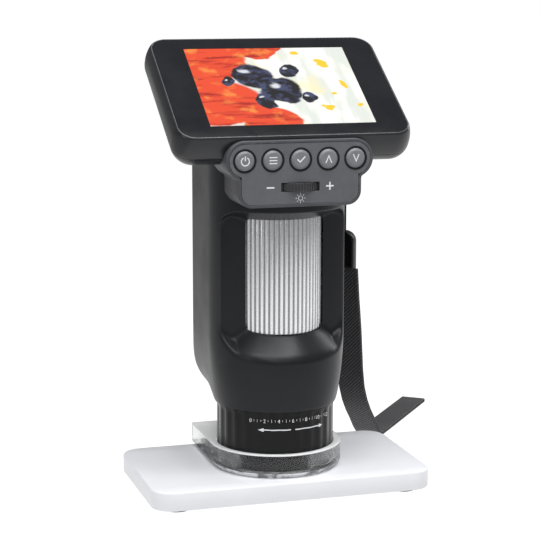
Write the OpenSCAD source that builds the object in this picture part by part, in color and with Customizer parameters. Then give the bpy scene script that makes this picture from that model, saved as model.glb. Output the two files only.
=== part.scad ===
// Handheld digital microscope with a tilted display, standing in a clear holder on a base plate.
// Millimetres. The optical axis is the Z axis, the front is -Y, the table is at z = 0.
// Heights inside on_plate() are measured from the top of the base plate.

/* [Base] */
// Width of the base plate, side to side
plate_w = 121.2; // [116:0.2:130]
// Depth of the base plate, front to back
plate_d = 70.3; // [70:0.1:80]
// Thickness of the base plate
plate_t = 8; // [6:0.1:10]
// Corner radius of the base plate
plate_r = 9; // [4:0.5:14]
// Height of the rubber feet below the plate
foot_h = 1.3; // [1:0.1:2]

/* [Holder] */
// Height of the clear holder
holder_h = 10.2; // [8:0.1:14]
// Wall of the clear holder around its socket
holder_wall = 3; // [2.6:0.1:3.4]

/* [Distance ring] */
// Number of flutes around the distance ring
ring_flutes = 28; // [20:1:40]

/* [Body] */
// Radius of the body's round front
body_r = 29.2; // [27:0.1:32]
// Wall thickness of the shells
wall_t = 2.2; // [1.8:0.1:2.4]
// Number of ribs around the focus drum
drum_ribs = 60; // [48:1:72]

/* [Display] */
// Width of the display head
head_w = 98.2; // [90:0.1:108]
// Length of the display head along its slope
head_h = 67.6; // [62:0.1:75]

/* [Panel] */
// Radius of the button caps
button_r = 4; // [3.6:0.1:4.2]
// Radius of the brightness wheel
wheel_r = 11; // [10.5:0.1:11.2]

/* [Strap] */
// Width of the strap webbing
strap_w = 12; // [8:0.5:16]
// Length of the strap that lies on the table
strap_tail = 69; // [40:1:90]

/* [Hidden] */
$fn = 64;

// clearances
seat = 0.1;   // between parts fixed in one another
run = 0.06;   // radial, between a part and what it turns or slides on
gap = 0.3;    // between parts that move past each other
cut = 1;      // how far a cutting shape stands past the surface that it cuts

// colours
charcoal = [0.17, 0.18, 0.2];
grey = [0.4, 0.41, 0.43];
steel = [0.75, 0.76, 0.78];
board_green = [0.1, 0.35, 0.22];

// base plate
plate_y = 1.5;
plate_top = foot_h + plate_t;
edge_c = 0.5;
foot_r = 6;
foot_seat = 0.7;
foot_x = plate_w / 2 - 11;
foot_dy = plate_d / 2 - 9.5;

// main radii, all from the body's
ring_r = body_r - 4.2;
drum_r = body_r - 9.2;
tube_r = drum_r - 3.2;
tube_bore = tube_r - 2.24;
panel_y = -body_r - 5.8;

// holder
socket_r = ring_r + gap;
holder_r = socket_r + holder_wall;
holder_back = plate_y + plate_d / 2 - 1.15;
holder_corner = 1.5;
holder_bevel = [2, 2.5];
ledge_r = ring_r - 2.8;
ledge_z = 2.1;
screw_r = 1.5;
screw_head = [2.8, 2.2];
holder_screw_x = holder_r - 6.8;
holder_screw_y = [20.5, 31.5];
holder_screw_len = 11;

// distance ring and nose
ring_z = [ledge_z + seat, 32.7];
flute_z = [3.4, 27];
flute_r = 9.8;
flute_depth = 0.3;
nose_r = ring_r - 3.4;
ring_lip = 2;
nose_z = [14.7, 35.1];
nose_flange = [ring_r - 1.2, 2];
nose_top = 48.2;
nose_wall = 2.4;
lip_r = nose_r - 3.3;
board_z = 17.7;
board_t = 1.2;
light_hole = 9;
led_count = 8;
led_ring = nose_r - 7.6;
led = [2.8, 0.7, 1, 0.6];
diffuser_t = 1;

// body
mouth_r = ring_r + 0.35;
mouth_lip = 0.55;
bowl_z = [28.1, 55.7];
hollow_z = 46.7;
rear_y = body_r + 4.8;
rear_r = 8;
split_y = rear_y - 10;
split_z = 56.7;
body_top = 185;

// scooped recess and drum
recess_x = body_r - 1.6;
recess_lip_y = 0.13 - sqrt(body_r * body_r - recess_x * recess_x);
recess_wall = [drum_r - 3.7, 8 - drum_r];
recess_z = [50.2, 112.1];
recess_corner = [12.5, 7];
ramp = [drum_r + 0.5, 60.7];
ramp_slope = 1.2;
ceiling_z = 108;
ceiling_slope = 0.47;
pocket_r = drum_r + 0.4;
pocket_z = [56.7, 111];
drum_z = [59.5, 109.5];
journal_r = drum_r - 1.4;
journal_h = 2;
tube_z = [37, 113.2];
slot_z = [76, 95.6];
frame_z = [55.3, 111.2];
frame_t = 2;
collar_r = drum_r + 0.1;
frame_x = body_r - 3.2;
frame_y = [-4, 18.5];
shelf = [body_r - 4.6, 6.4, 20, 2];
post = (drum_r + 3.35) * [0.728, 0.685];
post_r = 2.2;
slot_w = 2.6;
cam_pin = [1.1, 0.2];
carriage_z = [79, 93];
lens_r = tube_bore - 6.41;
lens_seat = 2;
sensor_board = [28, 26, 1.4];
sensor = [10, 1.6];
plug = [16, 4, 1.4];
cover_screw_z = [67, 139];
cover_screw_x = body_r - 5;
boss = [3.2, 10, 2];
cover_screw = [12, 1, 2, 1.9];
cover_head_y = rear_y - 4;
cell = [2 * body_r - 24.4, 8.6, 48, 2];
cell_seat = [rear_y - 11, 68, 2];

// display head, in its own frame: x, up the slope, out of the screen
tilt = 33;
head_y = panel_y + 30.42;
head_z = 162.3;
head_low = -34.05;
head_v = head_low + head_h / 2;
head_t = 17;
head_bite = 3;
head_r = 7.6;
head_bulge = 1.5;
bulge_n = 7;
back_r = 9;
lip_bevel = 0.4;
front_t = 10;
glass = [head_w - 1.6, head_h - 1.6, 1.2];
head_boss = [head_w / 2 - 7.6, head_h / 2 - 8.3];
boss_r = 2.8;
boss_top = 5.4;
boss_rib = [6, 1.6];
back_floor = 2.5;
lcd_edge = [3.3, 2.8];
lcd = [head_w - 21.7, head_h - lcd_edge[0] - lcd_edge[1], 3.4];
lcd_border = [6.4, 8.9];
pcb = [head_w - 6.2, head_h - 7.6, 1.6];
chips = [[-12, 2, 14, 14, 1.2], [10, 4, 10, 12, 1.2], [-34, -18, 9, 22, 1.4], [-6, -24, 22, 5, 1.6]];
usb = [5.4, 7.8, 2.8];
card = [10, 14, 1.9];
card_low = 11.8;
card_v = card_low + card[1] / 2 - head_h / 2;
neck_v = [-10, 5];
neck_x = body_r - 4.8;
neck_boss = [3, 9];
neck_hole = [36, 24, 4];
neck_screw = [11, 0.9, 1.9, 1.4];
head_screw = [10.2, 0.8, 1.8, 1.4];

// control panel
pill = [30.85, 7.95];
block = [25.85, 5.8];
panel_wall = 2.1;
panel_back = panel_y + 22;
button_z = 134.45;
panel_z = 115.4;
pitch = 11.63;
cap_h = 0.7;
cap_bevel = 0.9;
cap_dish = 0.06;
cap_flange = [0.6, 0.5];
rim = 1.15;
plate_in = 1.7;
slot = [8.1, 121.6, 125.3];
wheel_y = panel_y + 9.35;
wheel_t = 3.4;
wheel_z = (slot[1] + slot[2]) / 2;
travel = 0.8;
switch_y = panel_y + 4.85;
switch = [3.4, 1.2, 1];
stem_in = 0.1;
stem_r = 1;
switch_board = [[26, 130.2, 134.7], [22, 126, 134.7], 0.8];
panel_post = [17.4, 128, 1.7];
panel_screw = [4.1, 0.7, 1.6, 1.2];
dimmer_case = [9.2, 8.6, 3];
dimmer_shelf = [16, 12, 1.7];
dimmer_neck = [3.6, 3.6];
dimmer_shaft = 2;
wheel_ribs = 54;

// strap: it hangs in one upright plane; u runs along it, s is its distance from the axis
strap_dir = [0.622, 0.783];
cord_d = 1.1;
eye = [2.4, 1.2, 1.4];
eye_root = 4;
eye_v = head_v + head_h / 2 - 4.2;
eye_x = head_w / 2 - 6.2;
eye_z = head_z + eye_v * sin(tilt) - head_t * cos(tilt) - 2.33;
clasp_z = [77.7, 94.7];
clasp = [9.5, 5];
cord_x = eye_x - 1.4;
cord_y = head_y + eye_v * cos(tilt) + head_t * sin(tilt);
strap_u = strap_dir[0] * cord_x + strap_dir[1] * cord_y;
strap_s = strap_dir[1] * cord_x - strap_dir[0] * cord_y;
layer = 0.84;
loop_r = 0.6;
fall = [[0.2, 77.5], [2.7, 63.5], [6, 48.7], [8.9, 29.4], [11.4, 20.7], [15.6, 13.7],
    [20.8, 7.7], [26.2, 2.7], [31.7, -3], [36.2, -6.7], [39.7, -8]];

// ---------------------------------------------------------------- helpers

module on_plate() translate([0, 0, plate_top]) children();

// children in the head's frame: +Z out of the screen
module in_head() translate([0, head_y, head_z]) rotate([tilt, 0, 0]) translate([0, head_v, 0]) children();

// the same about the middle of the screen
module in_screen() in_head() translate([0, -head_v, 0]) children();

// children drawn in x and z, standing from y = front back to y = front + depth
module upright(front, depth) translate([0, front + depth, 0]) rotate([90, 0, 0])
    linear_extrude(depth) children();

// children drawn along +Z laid along +Y from y = at
module along_y(x, at, z) translate([x, at, z]) rotate([-90, 0, 0]) children();

module round_rect(w, d, r) {
    square([w - 2 * r, d], center = true);
    square([w, d - 2 * r], center = true);
    for (sx = [-1, 1], sy = [-1, 1]) translate([sx * (w / 2 - r), sy * (d / 2 - r)]) circle(r);
}

module tube(outer, inner, h) difference() {
    cylinder(r = outer, h = h);
    translate([0, 0, -cut]) cylinder(r = inner, h = h + 2 * cut);
}

// a screw with its head's outer face at z = 0 and its shank along +Z
module screw(len, r = screw_r, head = screw_head) difference() {
    union() {
        cylinder(r = head[0], h = head[1]);
        cylinder(r = r, h = len);
    }
    translate([0, 0, -cut]) cylinder(r = head[0] * 0.5, h = cut + head[1] * 0.55, $fn = 6);
}

// the hole for such a screw
module screw_hole(len, r = screw_r, head = screw_head) {
    translate([0, 0, -cut]) cylinder(r = head[0] + seat, h = head[1] + cut);
    cylinder(r = r + seat, h = len + seat);
}

// a slab with upright corners of radius r and its upper edges bevelled by e
module bevel_section(w, h, e)
    polygon([[-w / 2, 0], [w / 2, 0], [w / 2, h - e], [w / 2 - e, h], [e - w / 2, h], [-w / 2, h - e]]);

module bevelled_slab(w, d, h, r, e) {
    rotate([90, 0, 0]) linear_extrude(d - 2 * r, center = true) bevel_section(w, h, e);
    rotate([90, 0, 90]) linear_extrude(w - 2 * r, center = true) bevel_section(d, h, e);
    for (sx = [-1, 1], sy = [-1, 1]) translate([sx * (w / 2 - r), sy * (d / 2 - r), 0])
        rotate_extrude() polygon([[0, 0], [r, 0], [r, h - e], [r - e, h], [0, h]]);
}

// ---------------------------------------------------------------- base

module base_plate() color([0.93, 0.93, 0.92]) difference() {
    translate([0, plate_y, foot_h]) bevelled_slab(plate_w, plate_d, plate_t, plate_r, edge_c);
    feet_places() translate([0, 0, foot_h - cut]) cylinder(r = foot_r + seat, h = cut + foot_seat);
    holder_screw_places() translate([0, 0, foot_h]) screw_hole(holder_screw_len);
}

module feet_places() for (sx = [-1, 1], sy = [-1, 1])
    translate([sx * foot_x, plate_y + sy * foot_dy, 0]) children();

module rubber_feet() color([0.1, 0.1, 0.1]) feet_places() cylinder(r = foot_r, h = foot_h + foot_seat);

module holder_screw_places() for (s = [-1, 1], y = holder_screw_y) translate([s * holder_screw_x, y, 0])
    children();

module holder_outline() {
    circle(holder_r);
    translate([-holder_r, 0]) square([2 * holder_r, holder_back - holder_corner]);
    translate([holder_corner - holder_r, 0]) square([2 * (holder_r - holder_corner), holder_back]);
    for (s = [-1, 1]) translate([s * (holder_r - holder_corner), holder_back - holder_corner])
        circle(holder_corner);
}

// the holder is bevelled along the foot of its front and sides
module holder_block() {
    translate([0, 0, holder_bevel[1]]) linear_extrude(holder_h - holder_bevel[1]) holder_outline();
    cylinder(r1 = holder_r - holder_bevel[0], r2 = holder_r, h = holder_bevel[1]);
    translate([0, holder_back, 0]) rotate([90, 0, 0]) linear_extrude(holder_back)
        polygon([[holder_bevel[0] - holder_r, 0], [holder_r - holder_bevel[0], 0],
            [holder_r, holder_bevel[1]], [-holder_r, holder_bevel[1]]]);
}

module clear_holder() color([0.8, 0.86, 0.9, 0.4]) difference() {
    on_plate() holder_block();
    on_plate() translate([0, 0, ledge_z]) cylinder(r = socket_r, h = holder_h + cut);
    on_plate() translate([0, 0, -cut]) cylinder(r = ledge_r, h = ledge_z + 2 * cut);
    holder_screw_places() translate([0, 0, foot_h]) cylinder(r = screw_r + seat, h = holder_screw_len + seat);
}

module holder_screws() color(steel) holder_screw_places() translate([0, 0, foot_h]) screw(holder_screw_len);

// ---------------------------------------------------------------- nose and distance ring

module distance_ring() color([0.06, 0.06, 0.07]) on_plate() difference() {
    union() {
        translate([0, 0, ring_z[0]]) cylinder(r = ring_r - flute_depth, h = ring_z[1] - ring_z[0]);
        translate([0, 0, ring_z[0]]) cylinder(r = ring_r, h = flute_z[0] - ring_z[0]);
        translate([0, 0, flute_z[0]]) linear_extrude(flute_z[1] - flute_z[0]) fluted_disc();
        translate([0, 0, flute_z[1]]) cylinder(r = ring_r, h = ring_z[1] - flute_z[1]);
    }
    translate([0, 0, ring_z[0] - cut]) cylinder(r = nose_r + 0.4, h = ring_z[1] - ring_z[0] - ring_lip + cut);
    translate([0, 0, ring_z[1] - ring_lip - cut]) cylinder(r = nose_r + run, h = ring_lip + 2 * cut);
}

module fluted_disc() difference() {
    circle(ring_r);
    for (i = [0:ring_flutes - 1]) rotate(i * 360 / ring_flutes)
        translate([ring_r + flute_r - flute_depth, 0]) circle(flute_r);
}

module nose_tube() color([0.12, 0.12, 0.13]) on_plate() rotate_extrude() polygon([
    [lip_r, nose_z[0]], [nose_r, nose_z[0]],
    [nose_r, nose_z[1] - nose_flange[1]], [nose_flange[0], nose_z[1] - nose_flange[1]],
    [nose_flange[0], nose_z[1]], [tube_r + run + nose_wall, nose_z[1]],
    [tube_r + run + nose_wall, nose_top], [tube_r + run, nose_top],
    [tube_r + run, nose_z[1] - nose_flange[1]], [nose_r - nose_wall, nose_z[1] - nose_flange[1]],
    [nose_r - nose_wall, board_z], [lip_r, board_z]]);

module light_board() color(board_green) on_plate() translate([0, 0, board_z])
    tube(nose_r - nose_wall - seat, light_hole, board_t);

module leds() color([0.98, 0.96, 0.85]) on_plate() for (i = [0:led_count - 1])
    rotate((i + 0.5) * 360 / led_count) translate([led_ring, 0, board_z - led[1]]) {
        translate([-led[0] / 2, -led[0] / 2, 0]) cube([led[0], led[0], led[1]]);
        translate([0, 0, -led[3]]) cylinder(r = led[2], h = led[3] + led[1] / 2);
    }

module diffuser() color([0.9, 0.92, 0.95, 0.5]) on_plate() translate([0, 0, nose_z[0]])
    tube(lip_r - seat, light_hole, diffuser_t);

// ---------------------------------------------------------------- body

module body_section(inset) {
    r = body_r - inset;
    corner_r = rear_r - inset;
    circle(r);
    translate([-r, 0]) square([2 * r, rear_y - rear_r]);
    translate([rear_r - body_r, 0]) square([2 * (body_r - rear_r), rear_y - inset]);
    for (s = [-1, 1]) translate([s * (body_r - rear_r), rear_y - rear_r]) circle(corner_r);
}

// distance from the axis to the body's outline in the direction a
function corner_reach(c, s) = let(b = abs(c) * (body_r - rear_r) + s * (rear_y - rear_r))
    b + sqrt(b * b - pow(body_r - rear_r, 2) - pow(rear_y - rear_r, 2) + rear_r * rear_r);
function reach(a) = let(c = cos(a), s = sin(a))
    s <= 0 ? body_r
    : abs(c) > 0.01 && body_r * s / abs(c) <= rear_y - rear_r ? body_r / abs(c)
    : rear_y * abs(c) / s <= body_r - rear_r ? rear_y / s
    : corner_reach(c, s);

// the bowl below the column: rings that grow from the round mouth to the column's outline
bowl_n = 72;
bowl_steps = [0, 0.03, 0.08, 0.15, 0.25, 0.37, 0.51, 0.67, 0.83, 1];
skin_inset = 0.05;
bowl_h = bowl_z[1] - bowl_z[0];
corner_far = norm([body_r - rear_r, rear_y - rear_r]) + rear_r;
function share(a) = max(0, min(1, (reach(a) - body_r) / (corner_far - body_r)));
function swell(t, k) = pow(1 - pow(1 - t, 1.6 + 3.2 * k), 0.75 + 0.25 * k);
function bowl_ring(t, z) = [for (i = [0:bowl_n - 1]) let(a = i * 360 / bowl_n,
    r = mouth_r + mouth_lip + swell(t, share(a)) * (reach(a) - skin_inset - mouth_r - mouth_lip))
    [r * cos(a), r * sin(a), z]];
bowl_points = concat([for (t = bowl_steps) each bowl_ring(t, bowl_z[0] + t * bowl_h)],
    bowl_ring(1, bowl_z[1] + 0.5));
bowl_rows = len(bowl_steps) + 1;
bowl_faces = concat([[for (i = [0:bowl_n - 1]) i]],
    [for (k = [0:bowl_rows - 2], i = [0:bowl_n - 1]) let(j = (i + 1) % bowl_n)
        each [[k * bowl_n + i, (k + 1) * bowl_n + i, (k + 1) * bowl_n + j],
            [k * bowl_n + i, (k + 1) * bowl_n + j, k * bowl_n + j]]],
    [[for (i = [bowl_n - 1:-1:0]) (bowl_rows - 1) * bowl_n + i]]);

module bowl() polyhedron(points = bowl_points, faces = bowl_faces, convexity = 4);

module column(inset, from) translate([0, 0, from]) linear_extrude(body_top - from) body_section(inset);

// the recess seen from the front, larger by g
module recess_front(g) {
    low = recess_corner[0];
    high = recess_corner[1];
    translate([low - recess_x, recess_z[0] - g])
        square([2 * (recess_x - low), recess_z[1] - recess_z[0] - high + g]);
    translate([high - recess_x, recess_z[0] + low])
        square([2 * (recess_x - high), recess_z[1] - recess_z[0] - low + g]);
    translate([-recess_x - g, recess_z[0] + low])
        square([2 * (recess_x + g), recess_z[1] - recess_z[0] - low - high]);
    for (s = [-1, 1]) {
        translate([s * (recess_x - low), recess_z[0] + low]) circle(low + g);
        translate([s * (recess_x - high), recess_z[1] - high]) circle(high + g);
    }
}

// the recess seen from above, larger by g
module recess_plan(g) polygon([[-body_r - 3, -body_r - 3], [body_r + 3, -body_r - 3],
    [body_r + 3, recess_lip_y + g], [recess_x, recess_lip_y + g], [recess_wall[0], recess_wall[1] + g],
    [-recess_wall[0], recess_wall[1] + g], [-recess_x, recess_lip_y + g], [-body_r - 3, recess_lip_y + g]]);

// the turned shape that gives the recess its sloping floor and ceiling
module recess_turned(g) {
    far = body_r + 4;
    drop = g * sqrt(1 + ramp_slope * ramp_slope);
    low = ramp[1] - drop;
    rotate_extrude() polygon([[0, low], [ramp[0], low], [far, low - (far - ramp[0]) * ramp_slope],
        [far, ceiling_z + g + (far - ramp[0]) * ceiling_slope], [ramp[0], ceiling_z + g],
        [0, ceiling_z + g]]);
}

module recess(g) intersection() {
    translate([0, 0, recess_z[0] - 10]) linear_extrude(recess_z[1] - recess_z[0] + 20) recess_plan(g);
    upright(-body_r - 3, body_r + 3) recess_front(g);
    recess_turned(g);
}

module body_room() difference() {
    union() {
        translate([0, 0, bowl_z[0] - cut]) cylinder(r = mouth_r, h = bowl_h);
        column(wall_t, hollow_z);
    }
    recess(wall_t);
}

// everything from the head's back plane outwards
module head_side() in_head() {
    translate([-head_w, -head_h / 2 - head_bulge - seat, -head_t - seat])
        cube([2 * head_w, 2 * head_h, head_h]);
    translate([-head_w, head_h / 2 - head_bite, -head_h]) cube([2 * head_w, head_h, 2 * head_h]);
}

module panel_opening() translate([2 - block[0], -body_r - cut, panel_z + 0.2])
    cube([2 * (block[0] - 2), body_r + cut + panel_y + 14.8, 27]);

module neck_places(from) in_screen() for (sx = [-1, 1], v = neck_v)
    translate([sx * neck_x, v, from]) children();

module cover_screw_places() for (s = [-1, 1], z = cover_screw_z) along_y(s * cover_screw_x, 0, z) children();

module body_shell() color(charcoal) on_plate() {
    difference() {
        union() {
            bowl();
            column(0, bowl_z[1]);
        }
        body_room();
        recess(0);
        translate([0, 0, pocket_z[0]]) cylinder(r = pocket_r, h = pocket_z[1] - pocket_z[0]);
        panel_opening();
        head_side();
        translate([-body_r - cut, split_y, split_z]) cube([2 * body_r + 2 * cut, 20, body_top]);
    }
    difference() {
        union() {
            intersection() {
                neck_places(-head_t - neck_boss[1]) cylinder(r = neck_boss[0], h = neck_boss[1] - seat);
                column(wall_t / 2, hollow_z);
            }
            intersection() {
                cover_screw_places() translate([0, 0, split_y - boss[1]]) cylinder(r = boss[0], h = boss[1]);
                column(wall_t / 2, hollow_z);
            }
            for (s = [-1, 1], z = frame_z)
                translate([s * shelf[0] - shelf[1] / 2, frame_y[0], z - shelf[3]])
                    cube([shelf[1], shelf[2], shelf[3] - seat]);
        }
        neck_places(-head_t - neck_boss[1] + 1) cylinder(r = neck_screw[1] + seat, h = neck_boss[1] + cut);
        cover_screw_places() translate([0, 0, split_y - boss[1] + boss[2]])
            cylinder(r = cover_screw[1] + seat, h = boss[1]);
    }
}

module rear_cover() color(charcoal) on_plate() difference() {
    union() {
        difference() {
            column(0, split_z + seat);
            difference() {
                column(wall_t, split_z + wall_t);
                in_head() translate([-head_w, head_h / 2 - head_bite - wall_t, -head_w])
                    cube([2 * head_w, head_h, 2 * head_h]);
            }
        }
        intersection() {
            cover_screw_places() translate([0, 0, split_y]) cylinder(r = boss[0], h = boss[1] + boss[2]);
            column(wall_t / 2, split_z + seat);
        }
        translate([-cell[0] / 2, split_y, cell_seat[1]])
            cube([cell[0], rear_y - wall_t / 2 - split_y, cell_seat[2]]);
    }
    translate([-body_r - cut, -body_r - cut, 0])
        cube([2 * body_r + 2 * cut, body_r + cut + split_y + seat / 2, body_top + cut]);
    cover_screw_places() {
        translate([0, 0, split_y - cut]) cylinder(r = cover_screw[1] + seat, h = boss[1]);
        translate([0, 0, cover_head_y - cover_screw[3] - seat]) cylinder(r = cover_screw[2] + seat, h = 10);
    }
    head_side();
}

module cover_screws() color(steel) on_plate() cover_screw_places() translate([0, 0, cover_head_y])
    mirror([0, 0, 1]) screw(cover_screw[0], cover_screw[1], [cover_screw[2], cover_screw[3]]);

module battery() color([0.25, 0.35, 0.6]) on_plate()
    translate([-cell[0] / 2, cell_seat[0], cell_seat[1] + cell_seat[2] + seat]) {
        cube([cell[0], cell[1], cell[2]]);
        translate([cell[0] / 8, cell[1] / 4, cell[2]]) cube([cell[0] * 0.75, cell[1] / 2, cell[3]]);
    }

// ---------------------------------------------------------------- optics and focus drum

module frame_plate(z) translate([0, 0, z]) {
    cylinder(r = collar_r, h = frame_t);
    translate([-frame_x, frame_y[0], 0]) cube([2 * frame_x, frame_y[1] - frame_y[0], frame_t]);
}

module optics_frame() color([0.3, 0.31, 0.33]) on_plate() difference() {
    union() {
        frame_plate(frame_z[0]);
        frame_plate(frame_z[1]);
        translate([0, 0, frame_z[0] + frame_t - seat]) cylinder(r = collar_r, h = journal_h);
        translate([0, 0, frame_z[1] - journal_h + seat]) cylinder(r = collar_r, h = journal_h);
        for (s = [-1, 1]) translate([s * post[0], post[1], frame_z[0]])
            cylinder(r = post_r, h = frame_z[1] - frame_z[0] + frame_t);
    }
    translate([0, 0, frame_z[0] - cut])
        cylinder(r = tube_r + seat / 2, h = frame_z[1] - frame_z[0] + frame_t + 2 * cut);
    translate([0, 0, frame_z[0] + frame_t])
        cylinder(r = journal_r + run, h = frame_z[1] - frame_z[0] - frame_t);
}

module guide_tube() color([0.5, 0.5, 0.52]) on_plate() difference() {
    translate([0, 0, tube_z[0]]) tube(tube_r, tube_bore, tube_z[1] - tube_z[0]);
    translate([-tube_r - cut, -slot_w / 2, slot_z[0]])
        cube([2 * tube_r + 2 * cut, slot_w, slot_z[1] - slot_z[0]]);
}

module ribbed_disc() difference() {
    circle(drum_r);
    for (i = [0:drum_ribs - 1]) rotate((i + 0.5) * 360 / drum_ribs) translate([drum_r + 0.1, 0]) circle(0.55);
}

module focus_drum() color([0.8, 0.8, 0.82]) on_plate() difference() {
    union() {
        translate([0, 0, drum_z[0] - journal_h])
            cylinder(r = journal_r, h = drum_z[1] - drum_z[0] + 2 * journal_h - gap);
        translate([0, 0, drum_z[0]]) linear_extrude(drum_z[1] - drum_z[0] - gap) ribbed_disc();
    }
    translate([0, 0, drum_z[0] - journal_h - cut])
        cylinder(r = tube_r + 0.4, h = drum_z[1] - drum_z[0] + 2 * (journal_h + cut));
}

module lens_carriage() color([0.2, 0.2, 0.22]) on_plate() difference() {
    union() {
        translate([0, 0, carriage_z[0]]) cylinder(r = tube_bore - run, h = carriage_z[1] - carriage_z[0]);
        translate([cam_pin[1] - tube_r, 0, (carriage_z[0] + carriage_z[1]) / 2]) rotate([0, 90, 0])
            cylinder(r = cam_pin[0], h = 2 * (tube_r - cam_pin[1]));
    }
    translate([0, 0, carriage_z[0] - cut])
        cylinder(r = lens_r - 1, h = carriage_z[1] - carriage_z[0] + 2 * cut);
    translate([0, 0, carriage_z[0] + lens_seat])
        cylinder(r = lens_r + seat / 2, h = carriage_z[1] - carriage_z[0]);
}

// the lens, in units of its own radius
lens_shape = [[0, 0], [0.37, 0.025], [0.69, 0.085], [1, 0.17], [1, 0.37], [0.69, 0.455],
    [0.37, 0.515], [0, 0.54]];

module objective_lens() color([0.7, 0.85, 0.95, 0.5]) on_plate()
    translate([0, 0, carriage_z[0] + lens_seat + seat / 2]) rotate_extrude() polygon(lens_shape * lens_r);

module image_sensor_board() color(board_green) on_plate() translate([0, 0, tube_z[1] + seat / 2]) {
    translate([-sensor_board[0] / 2, 1 - sensor_board[1] / 2, 0]) cube(sensor_board);
    translate([-sensor[0] / 2, -sensor[0] / 2, -sensor[1]]) cube([sensor[0], sensor[0], sensor[1]]);
    translate([-plug[0] / 2, sensor_board[1] / 2 - 1 - plug[1], sensor_board[2]]) cube(plug);
}

// ---------------------------------------------------------------- display head

module head_holes(r, from, to) for (sx = [-1, 1], sy = [-1, 1])
    translate([sx * head_boss[0], sy * head_boss[1], from]) cylinder(r = r, h = to - from);

// half of the head's section for half a width w: the back edge is rounded, the flank stands out to its
// widest at bulge_n, and the front edge is bevelled
flank_arc = (bulge_n * bulge_n + head_bulge * head_bulge) / (2 * head_bulge);

module head_half(w) intersection() {
    polygon([[0, -head_t], [w + head_bulge, -head_t], [w + head_bulge, -head_bulge - lip_bevel],
        [w - lip_bevel, 0], [0, 0]]);
    union() {
        translate([0, -head_t]) square([w + head_bulge - back_r, head_t]);
        translate([0, back_r - head_t]) square([w + head_bulge, head_t - back_r - bulge_n]);
        intersection() {
            translate([w + head_bulge - back_r, back_r - head_t]) circle(back_r);
            translate([0, -head_t]) square([w + head_bulge, back_r]);
        }
        intersection() {
            translate([w + head_bulge - flank_arc, -bulge_n]) circle(flank_arc);
            translate([0, -bulge_n]) square([w + head_bulge, bulge_n]);
        }
    }
}

module head_section(w) {
    head_half(w / 2);
    mirror([1, 0]) head_half(w / 2);
}

// the head's outer form between two depths
module head_part(low, high) intersection() {
    union() {
        rotate([90, 0, 0]) linear_extrude(head_h - 2 * head_r, center = true) head_section(head_w);
        rotate([90, 0, 90]) linear_extrude(head_w - 2 * head_r, center = true) head_section(head_h);
        for (sx = [-1, 1], sy = [-1, 1])
            translate([sx * (head_w / 2 - head_r), sy * (head_h / 2 - head_r), 0])
                rotate_extrude() head_half(head_r);
    }
    translate([-head_w, -head_h, low]) cube([2 * head_w, 2 * head_h, high - low]);
}

module display_shell() color(charcoal) on_plate() in_head() difference() {
    union() {
        difference() {
            head_part(-front_t, 0);
            translate([0, 0, -front_t - cut]) linear_extrude(front_t + 2 * cut)
                round_rect(head_w - 2 * wall_t, head_h - 2 * wall_t, head_r - wall_t);
        }
        head_holes(boss_r, -front_t, -boss_top);
        for (sx = [-1, 1], sy = [-1, 1]) translate([sx * (head_boss[0] + boss_rib[0] / 2) - boss_rib[0] / 2,
            sy * head_boss[1] - boss_rib[1] / 2, -front_t])
                cube([boss_rib[0], boss_rib[1], front_t - boss_top]);
    }
    translate([0, 0, -glass[2] - seat]) linear_extrude(glass[2] + seat + cut)
        round_rect(glass[0] + 0.3, glass[1] + 0.3, head_r - 0.65);
    head_holes(head_screw[1] + seat, -front_t - cut, -boss_top - 1);
    translate([head_w / 2 - 5, -usb[1] / 2 - gap, -front_t - cut])
        cube([8, usb[1] + 2 * gap, cut + usb[2] + gap]);
    translate([head_w / 2 - 5, card_v - card[1] / 2 - gap / 2, -front_t - cut])
        cube([8, card[1] + gap, cut + card[2] + gap]);
}

module display_back() color(charcoal) on_plate() in_head() difference() {
    union() {
        difference() {
            head_part(-head_t, -front_t - seat / 2);
            translate([0, 0, back_floor - head_t]) linear_extrude(head_t)
                round_rect(head_w - 2 * wall_t, head_h - 2 * wall_t, head_r - wall_t);
        }
        head_holes(boss_r, -head_t + 1, -front_t - pcb[2] - seat);
        eye_lug();
    }
    translate([0, -head_v, -head_t - cut]) linear_extrude(back_floor + 2 * cut)
        round_rect(neck_hole[0], neck_hole[1], neck_hole[2]);
    head_holes(head_screw[1] + 2 * seat, -head_t - cut, -front_t);
    head_holes(head_screw[2] + seat, -head_t - cut, -head_t + head_screw[3] + 2 * seat);
    for (sx = [-1, 1], v = neck_v) translate([sx * neck_x, v - head_v, -head_t - cut])
        cylinder(r = neck_screw[1] + 2 * seat, h = 2 * back_floor);
    eye_in_head() translate([-cut, 0, 0]) rotate([0, 90, 0]) cylinder(r = eye[1], h = eye[2] + 2 * cut);
}

// the lanyard eye: a round-ended lug under the back, with its hole along x
module eye_in_head() translate([0, -head_v, 0]) rotate([-tilt, 0, 0])
    translate([eye_x - eye[2] / 2, cord_y - head_y, eye_z - head_z]) children();

module eye_lug() eye_in_head() rotate([0, 90, 0]) linear_extrude(eye[2]) {
    circle(eye[0]);
    translate([-eye_root, -eye[0]]) square([eye_root, 2 * eye[0]]);
}

module head_screws() color(steel) on_plate() in_head() {
    for (sx = [-1, 1], sy = [-1, 1]) translate([sx * head_boss[0], sy * head_boss[1], -head_t + seat])
        screw(head_screw[0], head_screw[1], [head_screw[2], head_screw[3]]);
    for (sx = [-1, 1], v = neck_v)
        translate([sx * neck_x, v - head_v, -head_t + back_floor + neck_screw[3] + 2 * seat])
            mirror([0, 0, 1]) screw(neck_screw[0], neck_screw[1], [neck_screw[2], neck_screw[3]]);
}

module cover_glass() color([0.12, 0.12, 0.14]) on_plate() in_head() translate([0, 0, -glass[2]])
    linear_extrude(glass[2]) round_rect(glass[0], glass[1], head_r - 0.8);

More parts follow.
